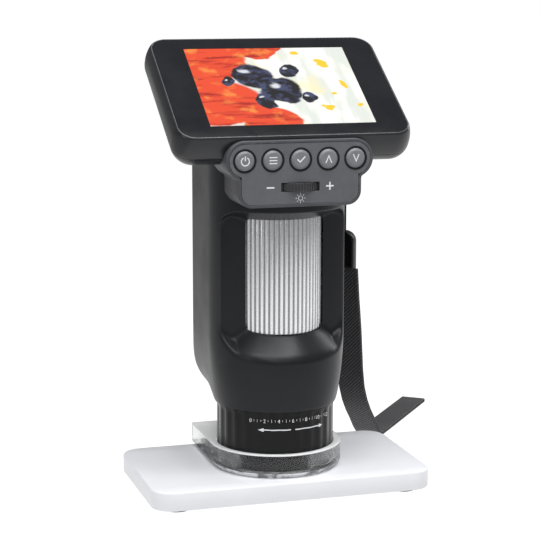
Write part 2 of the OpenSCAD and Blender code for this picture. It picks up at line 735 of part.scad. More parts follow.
module lcd_module() color([0.35, 0.36, 0.38]) on_plate() in_head()
    translate([0, lcd_edge[0] + lcd[1] / 2 - head_h / 2, -glass[2] - 2 * seat - lcd[2]]) difference() {
        linear_extrude(lcd[2]) square([lcd[0], lcd[1]], center = true);
        translate([0, 0, lcd[2] - gap]) linear_extrude(cut)
            square([lcd[0] - lcd_border[0], lcd[1] - lcd_border[1]], center = true);
    }

module main_board() color(board_green) on_plate() in_head() translate([0, 0, -front_t - pcb[2] - seat / 2])
    difference() {
        union() {
            linear_extrude(pcb[2]) round_rect(pcb[0], pcb[1], 4);
            for (c = chips) translate([c[0], c[1], pcb[2]]) cube([c[2], c[3], c[4]]);
        }
        head_holes(head_screw[1] + 2 * seat, -cut, 4);
    }

module usb_socket() color(steel) on_plate() in_head()
    translate([head_w / 2 - usb[0] - 2 * seat, -usb[1] / 2, -front_t + seat]) difference() {
        cube(usb);
        translate([0.8, 0.4, 0.4]) cube([usb[0], usb[1] - 0.8, usb[2] - 0.8]);
    }

module card_slot() color(steel) on_plate() in_head()
    translate([head_w / 2 - card[0] - 2 * seat, card_v - card[1] / 2, -front_t + seat]) difference() {
        cube(card);
        translate([0.8, 1.2, 0.4]) cube([card[0], card[1] - 2.4, card[2] - 0.8]);
    }

// ---------------------------------------------------------------- control panel

// the panel's outline, smaller by g: a pill over a narrower block
module panel_outline(g) {
    for (s = [-1, 1]) translate([s * (pill[0] - pill[1]), button_z]) circle(pill[1] - g);
    translate([pill[1] - pill[0], button_z - pill[1] + g])
        square([2 * (pill[0] - pill[1]), 2 * (pill[1] - g)]);
    translate([g - block[0], panel_z + block[1]])
        square([2 * (block[0] - g), button_z - panel_z - block[1]]);
    translate([block[1] - block[0], panel_z + g]) square([2 * (block[0] - block[1]), block[1] + 1]);
    for (s = [-1, 1]) translate([s * (block[0] - block[1]), panel_z + block[1]]) circle(block[1] - g);
}

module panel_housing() color(charcoal) on_plate() difference() {
    union() {
        difference() {
            upright(panel_y, panel_back - panel_y) panel_outline(0);
            upright(panel_y - cut, panel_back - panel_y + 2 * cut) panel_outline(panel_wall);
        }
        translate([-dimmer_shelf[0] / 2, panel_y + 3, panel_z + 0.4]) cube(dimmer_shelf);
    }
    upright(panel_y - cut, cut + plate_in) panel_outline(rim);
    difference() {
        column(-seat, panel_z - 10);
        panel_opening();
    }
    translate([2.85 - block[0], panel_y + 11, panel_z + panel_wall]) cube([2 * block[0] - 5.7, 30, 40]);
    head_side();
}

module button_holes() for (i = [-2:2]) along_y(i * pitch, panel_y, button_z) {
    translate([0, 0, -cut]) cylinder(r = button_r + 0.35, h = 4);
    translate([0, 0, -0.01]) cylinder(r1 = button_r + 0.9, r2 = button_r + 0.35, h = 0.6);
}

module face_plate() color(grey) on_plate() difference() {
    union() {
        upright(panel_y + seat, plate_in - 2 * seat) panel_outline(rim + 0.15);
        for (s = [-1, 1]) along_y(s * panel_post[0], panel_y + 1, panel_post[1])
            cylinder(r = panel_post[2], h = switch_y - panel_y - 1 - seat / 2);
    }
    button_holes();
    translate([-slot[0], panel_y - cut, slot[1]]) cube([2 * slot[0], 4, slot[2] - slot[1]]);
    for (s = [-1, 1]) along_y(s * panel_post[0], panel_y + 2.5, panel_post[1])
        cylinder(r = panel_screw[1] + seat, h = 8);
}

module switch_board() color(board_green) on_plate() difference() {
    union() {
        for (b = [switch_board[0], switch_board[1]]) translate([-b[0], switch_y, b[1]])
            cube([2 * b[0], switch_board[2], b[2] - b[1]]);
    }
    for (s = [-1, 1]) along_y(s * panel_post[0], switch_y - cut, panel_post[1])
        cylinder(r = panel_screw[1] + seat, h = 4);
}

module tact_switches() color(steel) on_plate() for (i = [-2:2]) difference() {
    translate([i * pitch - switch[0] / 2, switch_y - seat / 2 - switch[1], button_z - switch[0] / 2])
        cube([switch[0], switch[1], switch[0]]);
    along_y(i * pitch, switch_y - switch[1] - cut, button_z) cylinder(r = stem_r + gap, h = switch[2] + cut);
}

module panel_screws() color(steel) on_plate() for (s = [-1, 1])
    along_y(s * panel_post[0], switch_y + switch_board[2] + seat + panel_screw[3], panel_post[1])
        mirror([0, 0, 1]) screw(panel_screw[0], panel_screw[1], [panel_screw[2], panel_screw[3]]);

module dimmer() color([0.3, 0.3, 0.32]) on_plate() translate([0, wheel_y, panel_z + 2.2]) {
    translate([-dimmer_case[0] / 2, 0.1 - dimmer_case[1] / 2, 0]) cube(dimmer_case);
    cylinder(r = dimmer_neck[0], h = dimmer_neck[1]);
    cylinder(r = dimmer_shaft, h = wheel_z + wheel_t / 2 + 0.4 - panel_z - 2.2);
}

module brightness_wheel() color([0.13, 0.13, 0.14]) on_plate()
    translate([0, wheel_y, wheel_z - wheel_t / 2]) linear_extrude(wheel_t) difference() {
        circle(wheel_r);
        for (i = [0:wheel_ribs - 1]) rotate(i * 360 / wheel_ribs) translate([wheel_r + 0.1, 0]) circle(0.36);
        circle(dimmer_shaft + run);
    }

// a button: bevelled cap with a shallow dish, flange behind the face plate, stem into its switch
module button(i) on_plate() color(grey * 1.1) along_y(i * pitch, 0, button_z) rotate_extrude() polygon([
    [0, panel_y - cap_h + cap_dish], [button_r - 2 * cap_bevel, panel_y - cap_h + cap_dish],
    [button_r - cap_bevel - 0.2, panel_y - cap_h], [button_r - cap_bevel, panel_y - cap_h],
    [button_r, panel_y + 0.1], [button_r, panel_y + 1.9], [button_r + cap_flange[0], panel_y + 1.9],
    [button_r + cap_flange[0], panel_y + 1.9 + cap_flange[1]], [stem_r, panel_y + 1.9 + cap_flange[1]],
    [stem_r, switch_y - switch[1] + stem_in], [0, switch_y - switch[1] + stem_in]]);

module power_button() button(-2);

module menu_button() button(-1);

module ok_button() button(0);

module up_button() button(1);

module down_button() button(2);

// ---------------------------------------------------------------- strap

function unit(v) = v / norm(v);
function side(p, i) = let(d = unit(p[min(i + 1, len(p) - 1)] - p[max(i - 1, 0)])) [-d[1], d[0]];
function beside(p, k) = [for (i = [0:len(p) - 1]) p[i] + k * side(p, i)];
function backwards(p) = [for (i = [len(p) - 1:-1:0]) p[i]];

strap_path = [for (p = fall) [strap_u + p[0], p[1] + plate_top], each [for (k = [1:4])
    [strap_u + fall[len(fall) - 1][0] + k * strap_tail / 4, 1.2]]];
tail_end = strap_path[len(strap_path) - 1];
strap_loop = concat(beside(strap_path, loop_r),
    [for (a = [60, 30, 0, -30, -60]) tail_end + loop_r * [cos(a), sin(a)]],
    backwards(beside(strap_path, -loop_r)));

// children drawn in u and z, placed in the strap's upright plane and centred across it
module in_strap(w) multmatrix([[strap_dir[0], 0, strap_dir[1], strap_dir[1] * strap_s],
    [strap_dir[1], 0, -strap_dir[0], -strap_dir[0] * strap_s], [0, 1, 0, 0], [0, 0, 0, 1]])
    translate([0, 0, -w / 2]) linear_extrude(w) children();

module strap_webbing() color([0.08, 0.08, 0.09]) in_strap(strap_w)
    polygon(concat(beside(strap_loop, layer / 2), backwards(beside(strap_loop, -layer / 2))));

module strap_clasp() color([0.3, 0.3, 0.32]) on_plate() difference() {
    translate([cord_x, cord_y, 0]) rotate([0, 0, atan2(strap_dir[1], strap_dir[0])])
        translate([clasp[1] / 2, 0, 0]) rotate([90, 0, -90]) linear_extrude(clasp[1]) {
            translate([-clasp[0] / 2, clasp_z[0]])
                square([clasp[0], clasp_z[1] - clasp_z[0] - clasp[0] / 2]);
            translate([0, clasp_z[1] - clasp[0] / 2]) circle(clasp[0] / 2);
        }
    translate([cord_x, cord_y, clasp_z[1] - 6]) cylinder(r = cord_d / 2 + gap, h = 8);
}

// the cord: up from the clasp, through the lanyard eye and down beside itself
cord_bend = [[0, -72.5], [0, -66.7], [0, -56.7], [0, -46.7], [0, -36.7], [0, -26.7], [0, -16.7],
    [0, -9.7], [-0.1, -4.7], [-0.1, -2.5], [0.1, -1.1], [0.6, -0.3], [1.4, 0], [2.2, -0.3],
    [2.7, -1.1], [2.9, -2.5], [2.7, -4.7], [2.2, -8.2]];
cord_route = [for (p = cord_bend) [cord_x + p[0], cord_y, eye_z + p[1]]];
cord_sides = 8;
function heading(i) = unit(cord_route[min(i + 1, len(cord_route) - 1)] - cord_route[max(i - 1, 0)]);
cord_points = [for (i = [0:len(cord_route) - 1], k = [0:cord_sides - 1])
    let(h = heading(i), n = unit(cross([0, 1, 0], h)), a = k * 360 / cord_sides)
    cord_route[i] + cord_d / 2 * (cos(a) * n + sin(a) * [0, 1, 0])];
cord_faces = concat([[for (k = [0:cord_sides - 1]) k]],
    [for (i = [0:len(cord_route) - 2], k = [0:cord_sides - 1]) let(j = (k + 1) % cord_sides)
        each [[i * cord_sides + k, (i + 1) * cord_sides + k, (i + 1) * cord_sides + j],
            [i * cord_sides + k, (i + 1) * cord_sides + j, i * cord_sides + j]]],
    [[for (k = [cord_sides - 1:-1:0]) (len(cord_route) - 1) * cord_sides + k]]);

module strap_cord() color([0.06, 0.06, 0.07]) on_plate() polyhedron(points = cord_points, faces = cord_faces);

// ---------------------------------------------------------------- nodes

base_plate();
rubber_feet();
clear_holder();
holder_screws();
body_shell();
rear_cover();
cover_screws();
optics_frame();
guide_tube();
image_sensor_board();
battery();
display_shell();
display_back();
head_screws();
cover_glass();
lcd_module();
main_board();
usb_socket();
card_slot();
panel_housing();
face_plate();
switch_board();
tact_switches();
panel_screws();
dimmer();
power_button();
menu_button();
ok_button();
up_button();
down_button();
brightness_wheel();
focus_drum();
lens_carriage();
objective_lens();
nose_tube();
light_board();
leds();
diffuser();
distance_ring();
strap_cord();
strap_clasp();
strap_webbing();
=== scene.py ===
"""Stand microscope with a tilted display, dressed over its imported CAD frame.

Lengths inside this file are millimetres in the frame of the model: +X right, -Y front, the table at
z = 0. ``Surface.make`` turns them into metres. Heights called ``zp`` are measured from the top of the
base plate.
"""
import logging
import math
from dataclasses import dataclass, field
from enum import Enum
from typing import Callable, ClassVar, Iterable, Sequence

import bmesh
import bpy
from mathutils import Matrix, Vector


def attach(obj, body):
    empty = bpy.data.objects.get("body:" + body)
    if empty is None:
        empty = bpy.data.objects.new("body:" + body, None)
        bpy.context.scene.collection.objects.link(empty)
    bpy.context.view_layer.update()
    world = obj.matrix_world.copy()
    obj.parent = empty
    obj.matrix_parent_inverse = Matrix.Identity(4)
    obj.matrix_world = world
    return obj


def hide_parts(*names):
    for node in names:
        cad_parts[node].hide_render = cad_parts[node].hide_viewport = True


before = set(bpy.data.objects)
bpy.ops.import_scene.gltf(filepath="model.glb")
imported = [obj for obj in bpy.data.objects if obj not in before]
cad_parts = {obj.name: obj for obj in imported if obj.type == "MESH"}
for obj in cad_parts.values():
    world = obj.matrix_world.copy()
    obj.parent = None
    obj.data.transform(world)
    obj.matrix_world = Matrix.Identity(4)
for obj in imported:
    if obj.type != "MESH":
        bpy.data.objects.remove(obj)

logging.basicConfig(level=logging.INFO, format="%(name)s: %(message)s")
LOG = logging.getLogger("microscope")

MM = 0.001
PLATE_TOP = 9.3
TILT = math.radians(33)
HEAD_CENTRE = (0.0, -4.58, 171.6)
HEAD_DEPTH = 17.0
Point = tuple[float, float, float]
Flat = tuple[float, float]
Socket = bpy.types.NodeSocket


class Body(str, Enum):
    """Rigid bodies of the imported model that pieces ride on."""

    BASE = "base"
    MICROSCOPE = "microscope"
    WHEEL = "wheel"
    DRUM = "drum"
    RING = "ring"


class Slot(str, Enum):
    """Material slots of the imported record."""

    WHITE = "white_plastic"
    ACRYLIC = "clear_acrylic"
    CHARCOAL = "charcoal_plastic"
    GREY = "grey_plastic"
    BUTTON = "button_plastic"
    WHEEL = "wheel_plastic"
    DRUM = "drum_metal"
    RING = "ring_plastic"
    GLASS = "dark_glass"
    WEBBING = "webbing"
    CORD = "cord"
    CLASP = "clasp_plastic"


class Mark(Enum):
    """Symbols printed on the button caps."""

    POWER = "power"
    LIST = "list"
    TICK = "tick"
    UP = "up"
    DOWN = "down"


# ------------------------------------------------------------------------------ shader graphs


class Graph:
    """A material's node graph with short calls for the nodes that the finishes share."""

    def __init__(self, name: str) -> None:
        """Start an empty graph.

        Args:
            name: name of the new material.
        """
        self.material = bpy.data.materials.new(name)
        self.material.use_nodes = True
        self.tree = self.material.node_tree
        self.tree.nodes.clear()
        self.output = self.add("ShaderNodeOutputMaterial")

    def add(self, kind: str, **values: object) -> bpy.types.Node:
        """Add a node and set properties on it.

        Args:
            kind: Blender's node type.
            **values: properties of the node.

        Returns:
            The new node.
        """
        node = self.tree.nodes.new(kind)
        for key, value in values.items():
            setattr(node, key, value)
        return node

    def put(self, socket: Socket, value: object) -> None:
        """Link a socket into an input, or set a plain value on it.

        Args:
            socket: the input.
            value: an output socket, a number, a colour or a vector.
        """
        if isinstance(value, bpy.types.NodeSocket):
            self.tree.links.new(value, socket)
        elif isinstance(value, tuple) and len(value) == 3 and socket.type == "RGBA":
            socket.default_value = (*value, 1.0)
        else:
            socket.default_value = value

    def coords(self, name: str = "Object") -> Socket:
        """Return one of the texture coordinate outputs.

        Args:
            name: name of the output.

        Returns:
            The coordinate socket.
        """
        return self.add("ShaderNodeTexCoord").outputs[name]

    def scaled(self, vector: Socket, scale: Point, shift: Point = (0, 0, 0)) -> Socket:
        """Scale and shift a vector.

        Args:
            vector: the vector.
            scale: factor along each axis.
            shift: offset along each axis.

        Returns:
            The mapped vector.
        """
        node = self.add("ShaderNodeMapping")
        self.put(node.inputs["Vector"], vector)
        node.inputs["Scale"].default_value = scale
        node.inputs["Location"].default_value = shift
        return node.outputs[0]

    def noise(self, vector: Socket, scale: float, detail: float = 3, rough: float = 0.5) -> Socket:
        """Return a noise value.

        Args:
            vector: coordinates in metres.
            scale: cycles per metre.
            detail: octaves.
            rough: weight of the finer octaves.

        Returns:
            The noise factor.
        """
        node = self.add("ShaderNodeTexNoise")
        self.put(node.inputs["Vector"], vector)
        node.inputs["Scale"].default_value = scale
        node.inputs["Detail"].default_value = detail
        node.inputs["Roughness"].default_value = rough
        return node.outputs["Fac"]

    def cells(self, vector: Socket, scale: float, feature: str = "F1") -> Socket:
        """Return the distance output of a cell pattern.

        Args:
            vector: coordinates.
            scale: cells per unit.
            feature: which distance.

        Returns:
            The distance.
        """
        node = self.add("ShaderNodeTexVoronoi", feature=feature)
        self.put(node.inputs["Vector"], vector)
        node.inputs["Scale"].default_value = scale
        return node.outputs["Distance"]

    def math(self, operation: str, *values: object, clamp: bool = False) -> Socket:
        """Apply an arithmetic node.

        Args:
            operation: Blender's name of the operation.
            *values: its inputs.
            clamp: keep the result between 0 and 1.

        Returns:
            The result.
        """
        node = self.add("ShaderNodeMath", operation=operation, use_clamp=clamp)
        for socket, value in zip(node.inputs, values):
            self.put(socket, value)
        return node.outputs[0]

    def fit(self, value: Socket, low: float, high: float, to_low: float = 0, to_high: float = 1) -> Socket:
        """Map a range smoothly onto another.

        Args:
            value: the value.
            low: start of the range.
            high: end of the range.
            to_low: result at the start.
            to_high: result at the end.

        Returns:
            The mapped value.
        """
        node = self.add("ShaderNodeMapRange", interpolation_type="SMOOTHSTEP")
        self.put(node.inputs["Value"], value)
        for key, number in (("From Min", low), ("From Max", high), ("To Min", to_low), ("To Max", to_high)):
            node.inputs[key].default_value = number
        return node.outputs[0]

    def mix(self, factor: object, first: object, second: object) -> Socket:
        """Mix two colours.

        Args:
            factor: share of the second colour.
            first: a colour or socket.
            second: a colour or socket.

        Returns:
            The mixed colour.
        """
        node = self.add("ShaderNodeMix", data_type="RGBA")
        self.put(node.inputs[0], factor)
        self.put(node.inputs[6], first)
        self.put(node.inputs[7], second)
        return node.outputs[2]

    def split(self, vector: Socket) -> tuple[Socket, Socket, Socket]:
        """Split a vector into its parts.

        Args:
            vector: the vector.

        Returns:
            Its three components.
        """
        node = self.add("ShaderNodeSeparateXYZ")
        self.put(node.inputs[0], vector)
        return node.outputs[0], node.outputs[1], node.outputs[2]

    def bump(self, height: Socket, depth_mm: float, under: Socket | None = None) -> Socket:
        """Turn a height into a normal.

        Args:
            height: value from 0 to 1.
            depth_mm: relief of the full range.
            under: a normal to build on.

        Returns:
            The normal.
        """
        node = self.add("ShaderNodeBump")
        self.put(node.inputs["Height"], height)
        node.inputs["Distance"].default_value = depth_mm * MM
        if under is not None:
            self.put(node.inputs["Normal"], under)
        return node.outputs[0]

    def surface(self, **values: object) -> bpy.types.Material:
        """Finish the graph with a principled shader.

        Args:
            **values: inputs by name, with underscores for blanks.

        Returns:
            The material.
        """
        shader = self.add("ShaderNodeBsdfPrincipled")
        for key, value in values.items():
            self.put(shader.inputs[key.replace("_", " ")], value)
        self.tree.links.new(shader.outputs[0], self.output.inputs["Surface"])
        return self.material


def srgb(red: float, green: float, blue: float) -> Point:
    """Turn display values from 0 to 255 into linear light.

    Args:
        red: red value.
        green: green value.
        blue: blue value.

    Returns:
        The linear colour.
    """
    parts = [value / 255 for value in (red, green, blue)]
    return tuple(p / 12.92 if p <= 0.04045 else ((p + 0.055) / 1.055) ** 2.4 for p in parts)


def shaded(colour: Point, factor: float) -> Point:
    """Make a colour lighter or darker.

    Args:
        colour: a linear colour.
        factor: how many times as light.

    Returns:
        The changed colour.
    """
    return tuple(min(1.0, part * factor) for part in colour)


# ------------------------------------------------------------------------------ finishes


@dataclass(frozen=True)
class Finish:
    """Common parts of every finish: a name and a base colour."""

    name: str
    colour: Point
    made: ClassVar[dict[str, bpy.types.Material]] = {}

    def material(self) -> bpy.types.Material:
        """Return the material, made on the first call.

        Returns:
            The Blender material.
        """
        if self.name not in self.made:
            self.made[self.name] = self.build(Graph(self.name))
        return self.made[self.name]

    def build(self, graph: Graph) -> bpy.types.Material:
        """Build the node graph.

        Args:
            graph: an empty graph.

        Returns:
            The material.
        """
        raise NotImplementedError


@dataclass(frozen=True)
class Moulded(Finish):
    """Moulded plastic with a fine spark-eroded grain, faint cloudiness, rubbed edges and an optional
    painted lip highlight.
    """

    roughness: float = 0.42
    grain_mm: float = 0.28
    grain_depth: float = 0.012
    cloud: float = 0.1
    rub: float = 0.35
    shine: float = 0.35
    lip_highlight_band: tuple[float, ...] = ()

    def painted_lip_highlight(self, graph: Graph, place: Socket) -> Socket:
        """Return a mask of the upright band along the recess lip where a highlight is painted.

        Args:
            graph: the graph.
            place: object coordinates in metres.

        Returns:
            The mask.
        """
        x, y, z = graph.split(place)
        side, half, low, high, front = self.lip_highlight_band
        away = graph.math("ABSOLUTE", graph.math("SUBTRACT", graph.math("ABSOLUTE", x), side))
        mask = graph.math("MULTIPLY", graph.fit(away, half, 0.0), graph.fit(y, front + 0.003, front))
        return graph.math("MULTIPLY", mask, graph.math("MULTIPLY", graph.fit(z, low, low + 0.01),
                                                       graph.fit(z, high, high - 0.01)))

    def build(self, graph: Graph) -> bpy.types.Material:
        """Build the graph: grain as bump, clouds in colour and gloss, lighter worn edges, and a painted
        highlight in the lip band.

        Args:
            graph: an empty graph.

        Returns:
            The material.
        """
        place = graph.coords()
        grain = graph.noise(place, 1000 / self.grain_mm, 2, 0.6)
        clouds = graph.noise(place, 45, 4, 0.55)
        worn = graph.fit(graph.add("ShaderNodeNewGeometry").outputs["Pointiness"], 0.53, 0.62)
        scuffs = graph.fit(graph.noise(place, 260, 5, 0.7), 0.45, 0.65)
        tint = graph.mix(graph.fit(clouds, 0.35, 0.65), shaded(self.colour, 1 - self.cloud),
                         shaded(self.colour, 1 + self.cloud))
        tint = graph.mix(graph.math("MULTIPLY", graph.math("MULTIPLY", worn, scuffs), self.rub), tint,
                         shaded(self.colour, 2.4))
        # Painted highlight: the band along the recess lip is lightened to 2.6 times the base colour.
        if self.lip_highlight_band:
            tint = graph.mix(self.painted_lip_highlight(graph, place), tint, shaded(self.colour, 2.6))
        gloss = graph.fit(clouds, 0.3, 0.7, self.roughness - 0.04, self.roughness + 0.05)
        gloss = graph.math("ADD", gloss, graph.math("MULTIPLY", grain, 0.06))
        return graph.surface(Base_Color=tint, Roughness=gloss, Specular_IOR_Level=self.shine,
                             Normal=graph.bump(grain, self.grain_depth))


@dataclass(frozen=True)
class Gloss(Finish):
    """Polished plastic or paint with faint waviness and hairline scratches."""

    roughness: float = 0.12
    wave: float = 0.01
    shine: float = 0.5

    def build(self, graph: Graph) -> bpy.types.Material:
        """Build the graph: long waves as bump and stretched noise as hairlines.

        Args:
            graph: an empty graph.

        Returns:
            The material.
        """
        place = graph.coords()
        waves = graph.noise(place, 120, 2)
        lines = graph.noise(graph.scaled(place, (400, 400, 9000)), 1, 4, 0.7)
        hair = graph.fit(lines, 0.62, 0.72)
        gloss = graph.math("ADD", graph.fit(graph.noise(place, 60), 0.3, 0.7, self.roughness * 0.8,
                                            self.roughness * 1.3), graph.math("MULTIPLY", hair, 0.08))
        tint = graph.mix(graph.math("MULTIPLY", hair, 0.25), self.colour, shaded(self.colour, 1.6))
        normal = graph.bump(lines, 0.0015, graph.bump(waves, self.wave))
        return graph.surface(Base_Color=tint, Roughness=gloss, Specular_IOR_Level=self.shine, Normal=normal)


@dataclass(frozen=True)
class Acrylic(Finish):
    """Clear cast acrylic with a faint cool tint, polishing haze, tiny scratches and painted highlights at
    foot and rim.
    """

    body: float = 0.5
    # Heights in metres of the foot and rim bands that are painted bright.
    foot: Flat = (0.0119, 0.0114)
    brim: Flat = (0.0190, 0.0193)
    painted_glow_cut: float = 0.8
    painted_glow_alpha: float = 0.95

    def build(self, graph: Graph) -> bpy.types.Material:
        """Build the graph: clear walls, and foot and rim bands turned opaque white as painted highlights,
        streaked at the foot.

        Args:
            graph: an empty graph.

        Returns:
            The material.
        """
        place = graph.coords()
        height = graph.split(place)[2]
        low = graph.fit(height, *self.foot)
        rim = graph.fit(height, *self.brim)
        streaks = graph.fit(graph.noise(graph.scaled(place, (150, 150, 12)), 1, 3), 0.36, 0.56, 0.15, 1)
        # Painted highlight: the foot band, in streaks, and the rim band lose transmission and gain opacity,
        # so they show white.
        edge = graph.math("MAXIMUM", graph.math("MULTIPLY", low, streaks), rim)
        haze = graph.fit(graph.noise(place, 70, 4, 0.6), 0.5, 0.85, 0.0, 0.03)
        waves = graph.bump(graph.noise(place, 160, 2), 0.004)
        clear = graph.math("SUBTRACT", 1.0, graph.math("MULTIPLY", edge, self.painted_glow_cut))
        body = graph.math("ADD", self.body, graph.math("MULTIPLY", edge, self.painted_glow_alpha - self.body))
        return graph.surface(Base_Color=self.colour, Roughness=haze, Transmission_Weight=clear, IOR=1.49,
                             Normal=waves, Alpha=body)


@dataclass(frozen=True)
class Metal(Finish):
    """Metal with brushed lines along one axis, mottled gloss and optional painted shade in the rib grooves.
    """

    roughness: float = 0.3
    metallic: float = 1.0
    stretch: Point = (1500, 1500, 60)
    groove_shade: float = 0.0
    groove_shade_radii: Flat = (0.01995, 0.01955)
    brush: float = 0.006

    def build(self, graph: Graph) -> bpy.types.Material:
        """Build the graph: stretched noise for the brushing in colour, gloss and bump; painted shade in the
        grooves.

        Args:
            graph: an empty graph.

        Returns:
            The material.
        """
        place = graph.coords()
        brushed = graph.noise(graph.scaled(place, self.stretch), 1, 3, 0.6)
        mottle = graph.noise(place, 150, 3)
        tint = graph.mix(graph.fit(brushed, 0.3, 0.7), shaded(self.colour, 0.88), self.colour)
        # Painted shade: the colour darkens where the radius drops into the grooves between the ribs.
        if self.groove_shade:
            x, y, _ = graph.split(place)
            radius = graph.math("SQRT", graph.math("ADD", graph.math("MULTIPLY", x, x),
                                                   graph.math("MULTIPLY", y, y)))
            groove_shade = graph.fit(radius, *self.groove_shade_radii)
            tint = graph.mix(graph.math("MULTIPLY", groove_shade, self.groove_shade), tint, shaded(self.colour, 0.12))
        gloss = graph.math("ADD", graph.fit(mottle, 0.3, 0.7, self.roughness - 0.05, self.roughness + 0.06),
                           graph.math("MULTIPLY", brushed, 0.08))
        return graph.surface(Base_Color=tint, Metallic=self.metallic, Roughness=gloss,
                             Normal=graph.bump(brushed, self.brush))


@dataclass(frozen=True)
class Rubber(Finish):
    """Matt rubber with dust in its pores."""

    def build(self, graph: Graph) -> bpy.types.Material:
        """Build the graph: coarse grain, dust where the noise is high.

        Args:
            graph: an empty graph.

        Returns:
            The material.
        """
        place = graph.coords()
        grain = graph.noise(place, 2500, 3)
        dust = graph.fit(graph.noise(place, 300, 5, 0.7), 0.5, 0.75, 0, 0.3)
        tint = graph.mix(dust, self.colour, shaded(self.colour, 3))
        return graph.surface(Base_Color=tint, Roughness=0.85, Normal=graph.bump(grain, 0.03))


@dataclass(frozen=True)
class Board(Finish):
    """Circuit board: solder mask over tracks, with tinned pads."""

    def build(self, graph: Graph) -> bpy.types.Material:
        """Build the graph: tracks from stepped cells, pads from their centres.

        Args:
            graph: an empty graph.

        Returns:
            The material.
        """
        place = graph.coords()
        tracks = graph.fit(graph.cells(place, 420, "DISTANCE_TO_EDGE"), 0.03, 0.07)
        pads = graph.fit(graph.cells(place, 420), 0.12, 0.1)
        tint = graph.mix(tracks, shaded(self.colour, 1.9), self.colour)
        tint = graph.mix(pads, tint, (0.62, 0.6, 0.55))
        return graph.surface(Base_Color=tint, Roughness=0.35, Metallic=graph.math("MULTIPLY", pads, 0.9),
                             Normal=graph.bump(tracks, -0.03))


@dataclass(frozen=True)
class Woven(Finish):
    """Webbing in a fine twill; the weave runs in the piece's own UV map, in millimetres."""

    pitch: float = 1.1

    def build(self, graph: Graph) -> bpy.types.Material:
        """Build the graph: two crossed thread sets, light flecks on the crowns.

        Args:
            graph: an empty graph.

        Returns:
            The material.
        """
        along, across, _ = graph.split(graph.coords("UV"))
        one = graph.math("SINE", graph.math("MULTIPLY", graph.math("ADD", along, across),
                                            2 * math.pi / self.pitch))
        two = graph.math("SINE", graph.math("MULTIPLY", graph.math("SUBTRACT", along, across),
                                            2 * math.pi / (self.pitch * 1.5)))
        weave = graph.math("MULTIPLY", graph.fit(one, -0.6, 1), graph.fit(two, -0.6, 1))
        fuzz = graph.noise(graph.coords(), 5200, 3, 0.7)
        fleck = graph.math("MULTIPLY", graph.fit(weave, 0.35, 0.9), graph.fit(fuzz, 0.3, 0.55))
        tint = graph.mix(fleck, shaded(self.colour, 0.7), shaded(self.colour, 18))
        normal = graph.bump(fuzz, 0.03, graph.bump(weave, 0.12))
        return graph.surface(Base_Color=tint, Roughness=0.72, Sheen_Weight=0.25, Sheen_Roughness=0.4,
                             Normal=normal)


@dataclass(frozen=True)
class Braid(Finish):
    """Thin braided cord."""

    def build(self, graph: Graph) -> bpy.types.Material:
        """Build the graph: helical strands from a tilted wave.

        Args:
            graph: an empty graph.

        Returns:
            The material.
        """
        place = graph.coords()
        wave = graph.add("ShaderNodeTexWave", wave_type="BANDS", bands_direction="DIAGONAL")
        graph.put(wave.inputs["Vector"], place)
        wave.inputs["Scale"].default_value = 900
        wave.inputs["Distortion"].default_value = 1.5
        strands = wave.outputs["Fac"]
        tint = graph.mix(strands, shaded(self.colour, 0.6), shaded(self.colour, 1.8))
        return graph.surface(Base_Color=tint, Roughness=0.65, Normal=graph.bump(strands, 0.08))


@dataclass(frozen=True)
class Ink(Finish):
    """Pad-printed ink, slightly uneven in cover."""

    def build(self, graph: Graph) -> bpy.types.Material:
        """Build the graph: thin spots from fine noise.

        Args:
            graph: an empty graph.

        Returns:
            The material.
        """
        thin = graph.fit(graph.noise(graph.coords(), 3500, 4, 0.6), 0.35, 0.6)
        tint = graph.mix(thin, shaded(self.colour, 0.82), self.colour)
        return graph.surface(Base_Color=tint, Roughness=0.5, Normal=graph.bump(thin, 0.004))


@dataclass(frozen=True)
class Translucent(Finish):
    """Milky or tinted see-through plastic and glass."""

    roughness: float = 0.3
    amount: float = 0.7

    def build(self, graph: Graph) -> bpy.types.Material:
        """Build the graph: partial transmission with cloudy roughness.

        Args:
            graph: an empty graph.

        Returns:
            The material.
        """
        place = graph.coords()
        cloud = graph.fit(graph.noise(place, 500, 3), 0.3, 0.7, self.roughness * 0.7, self.roughness)
        tint = graph.mix(graph.noise(place, 900), shaded(self.colour, 0.94), self.colour)
        return graph.surface(Base_Color=tint, Roughness=cloud, Transmission_Weight=self.amount, IOR=1.5)


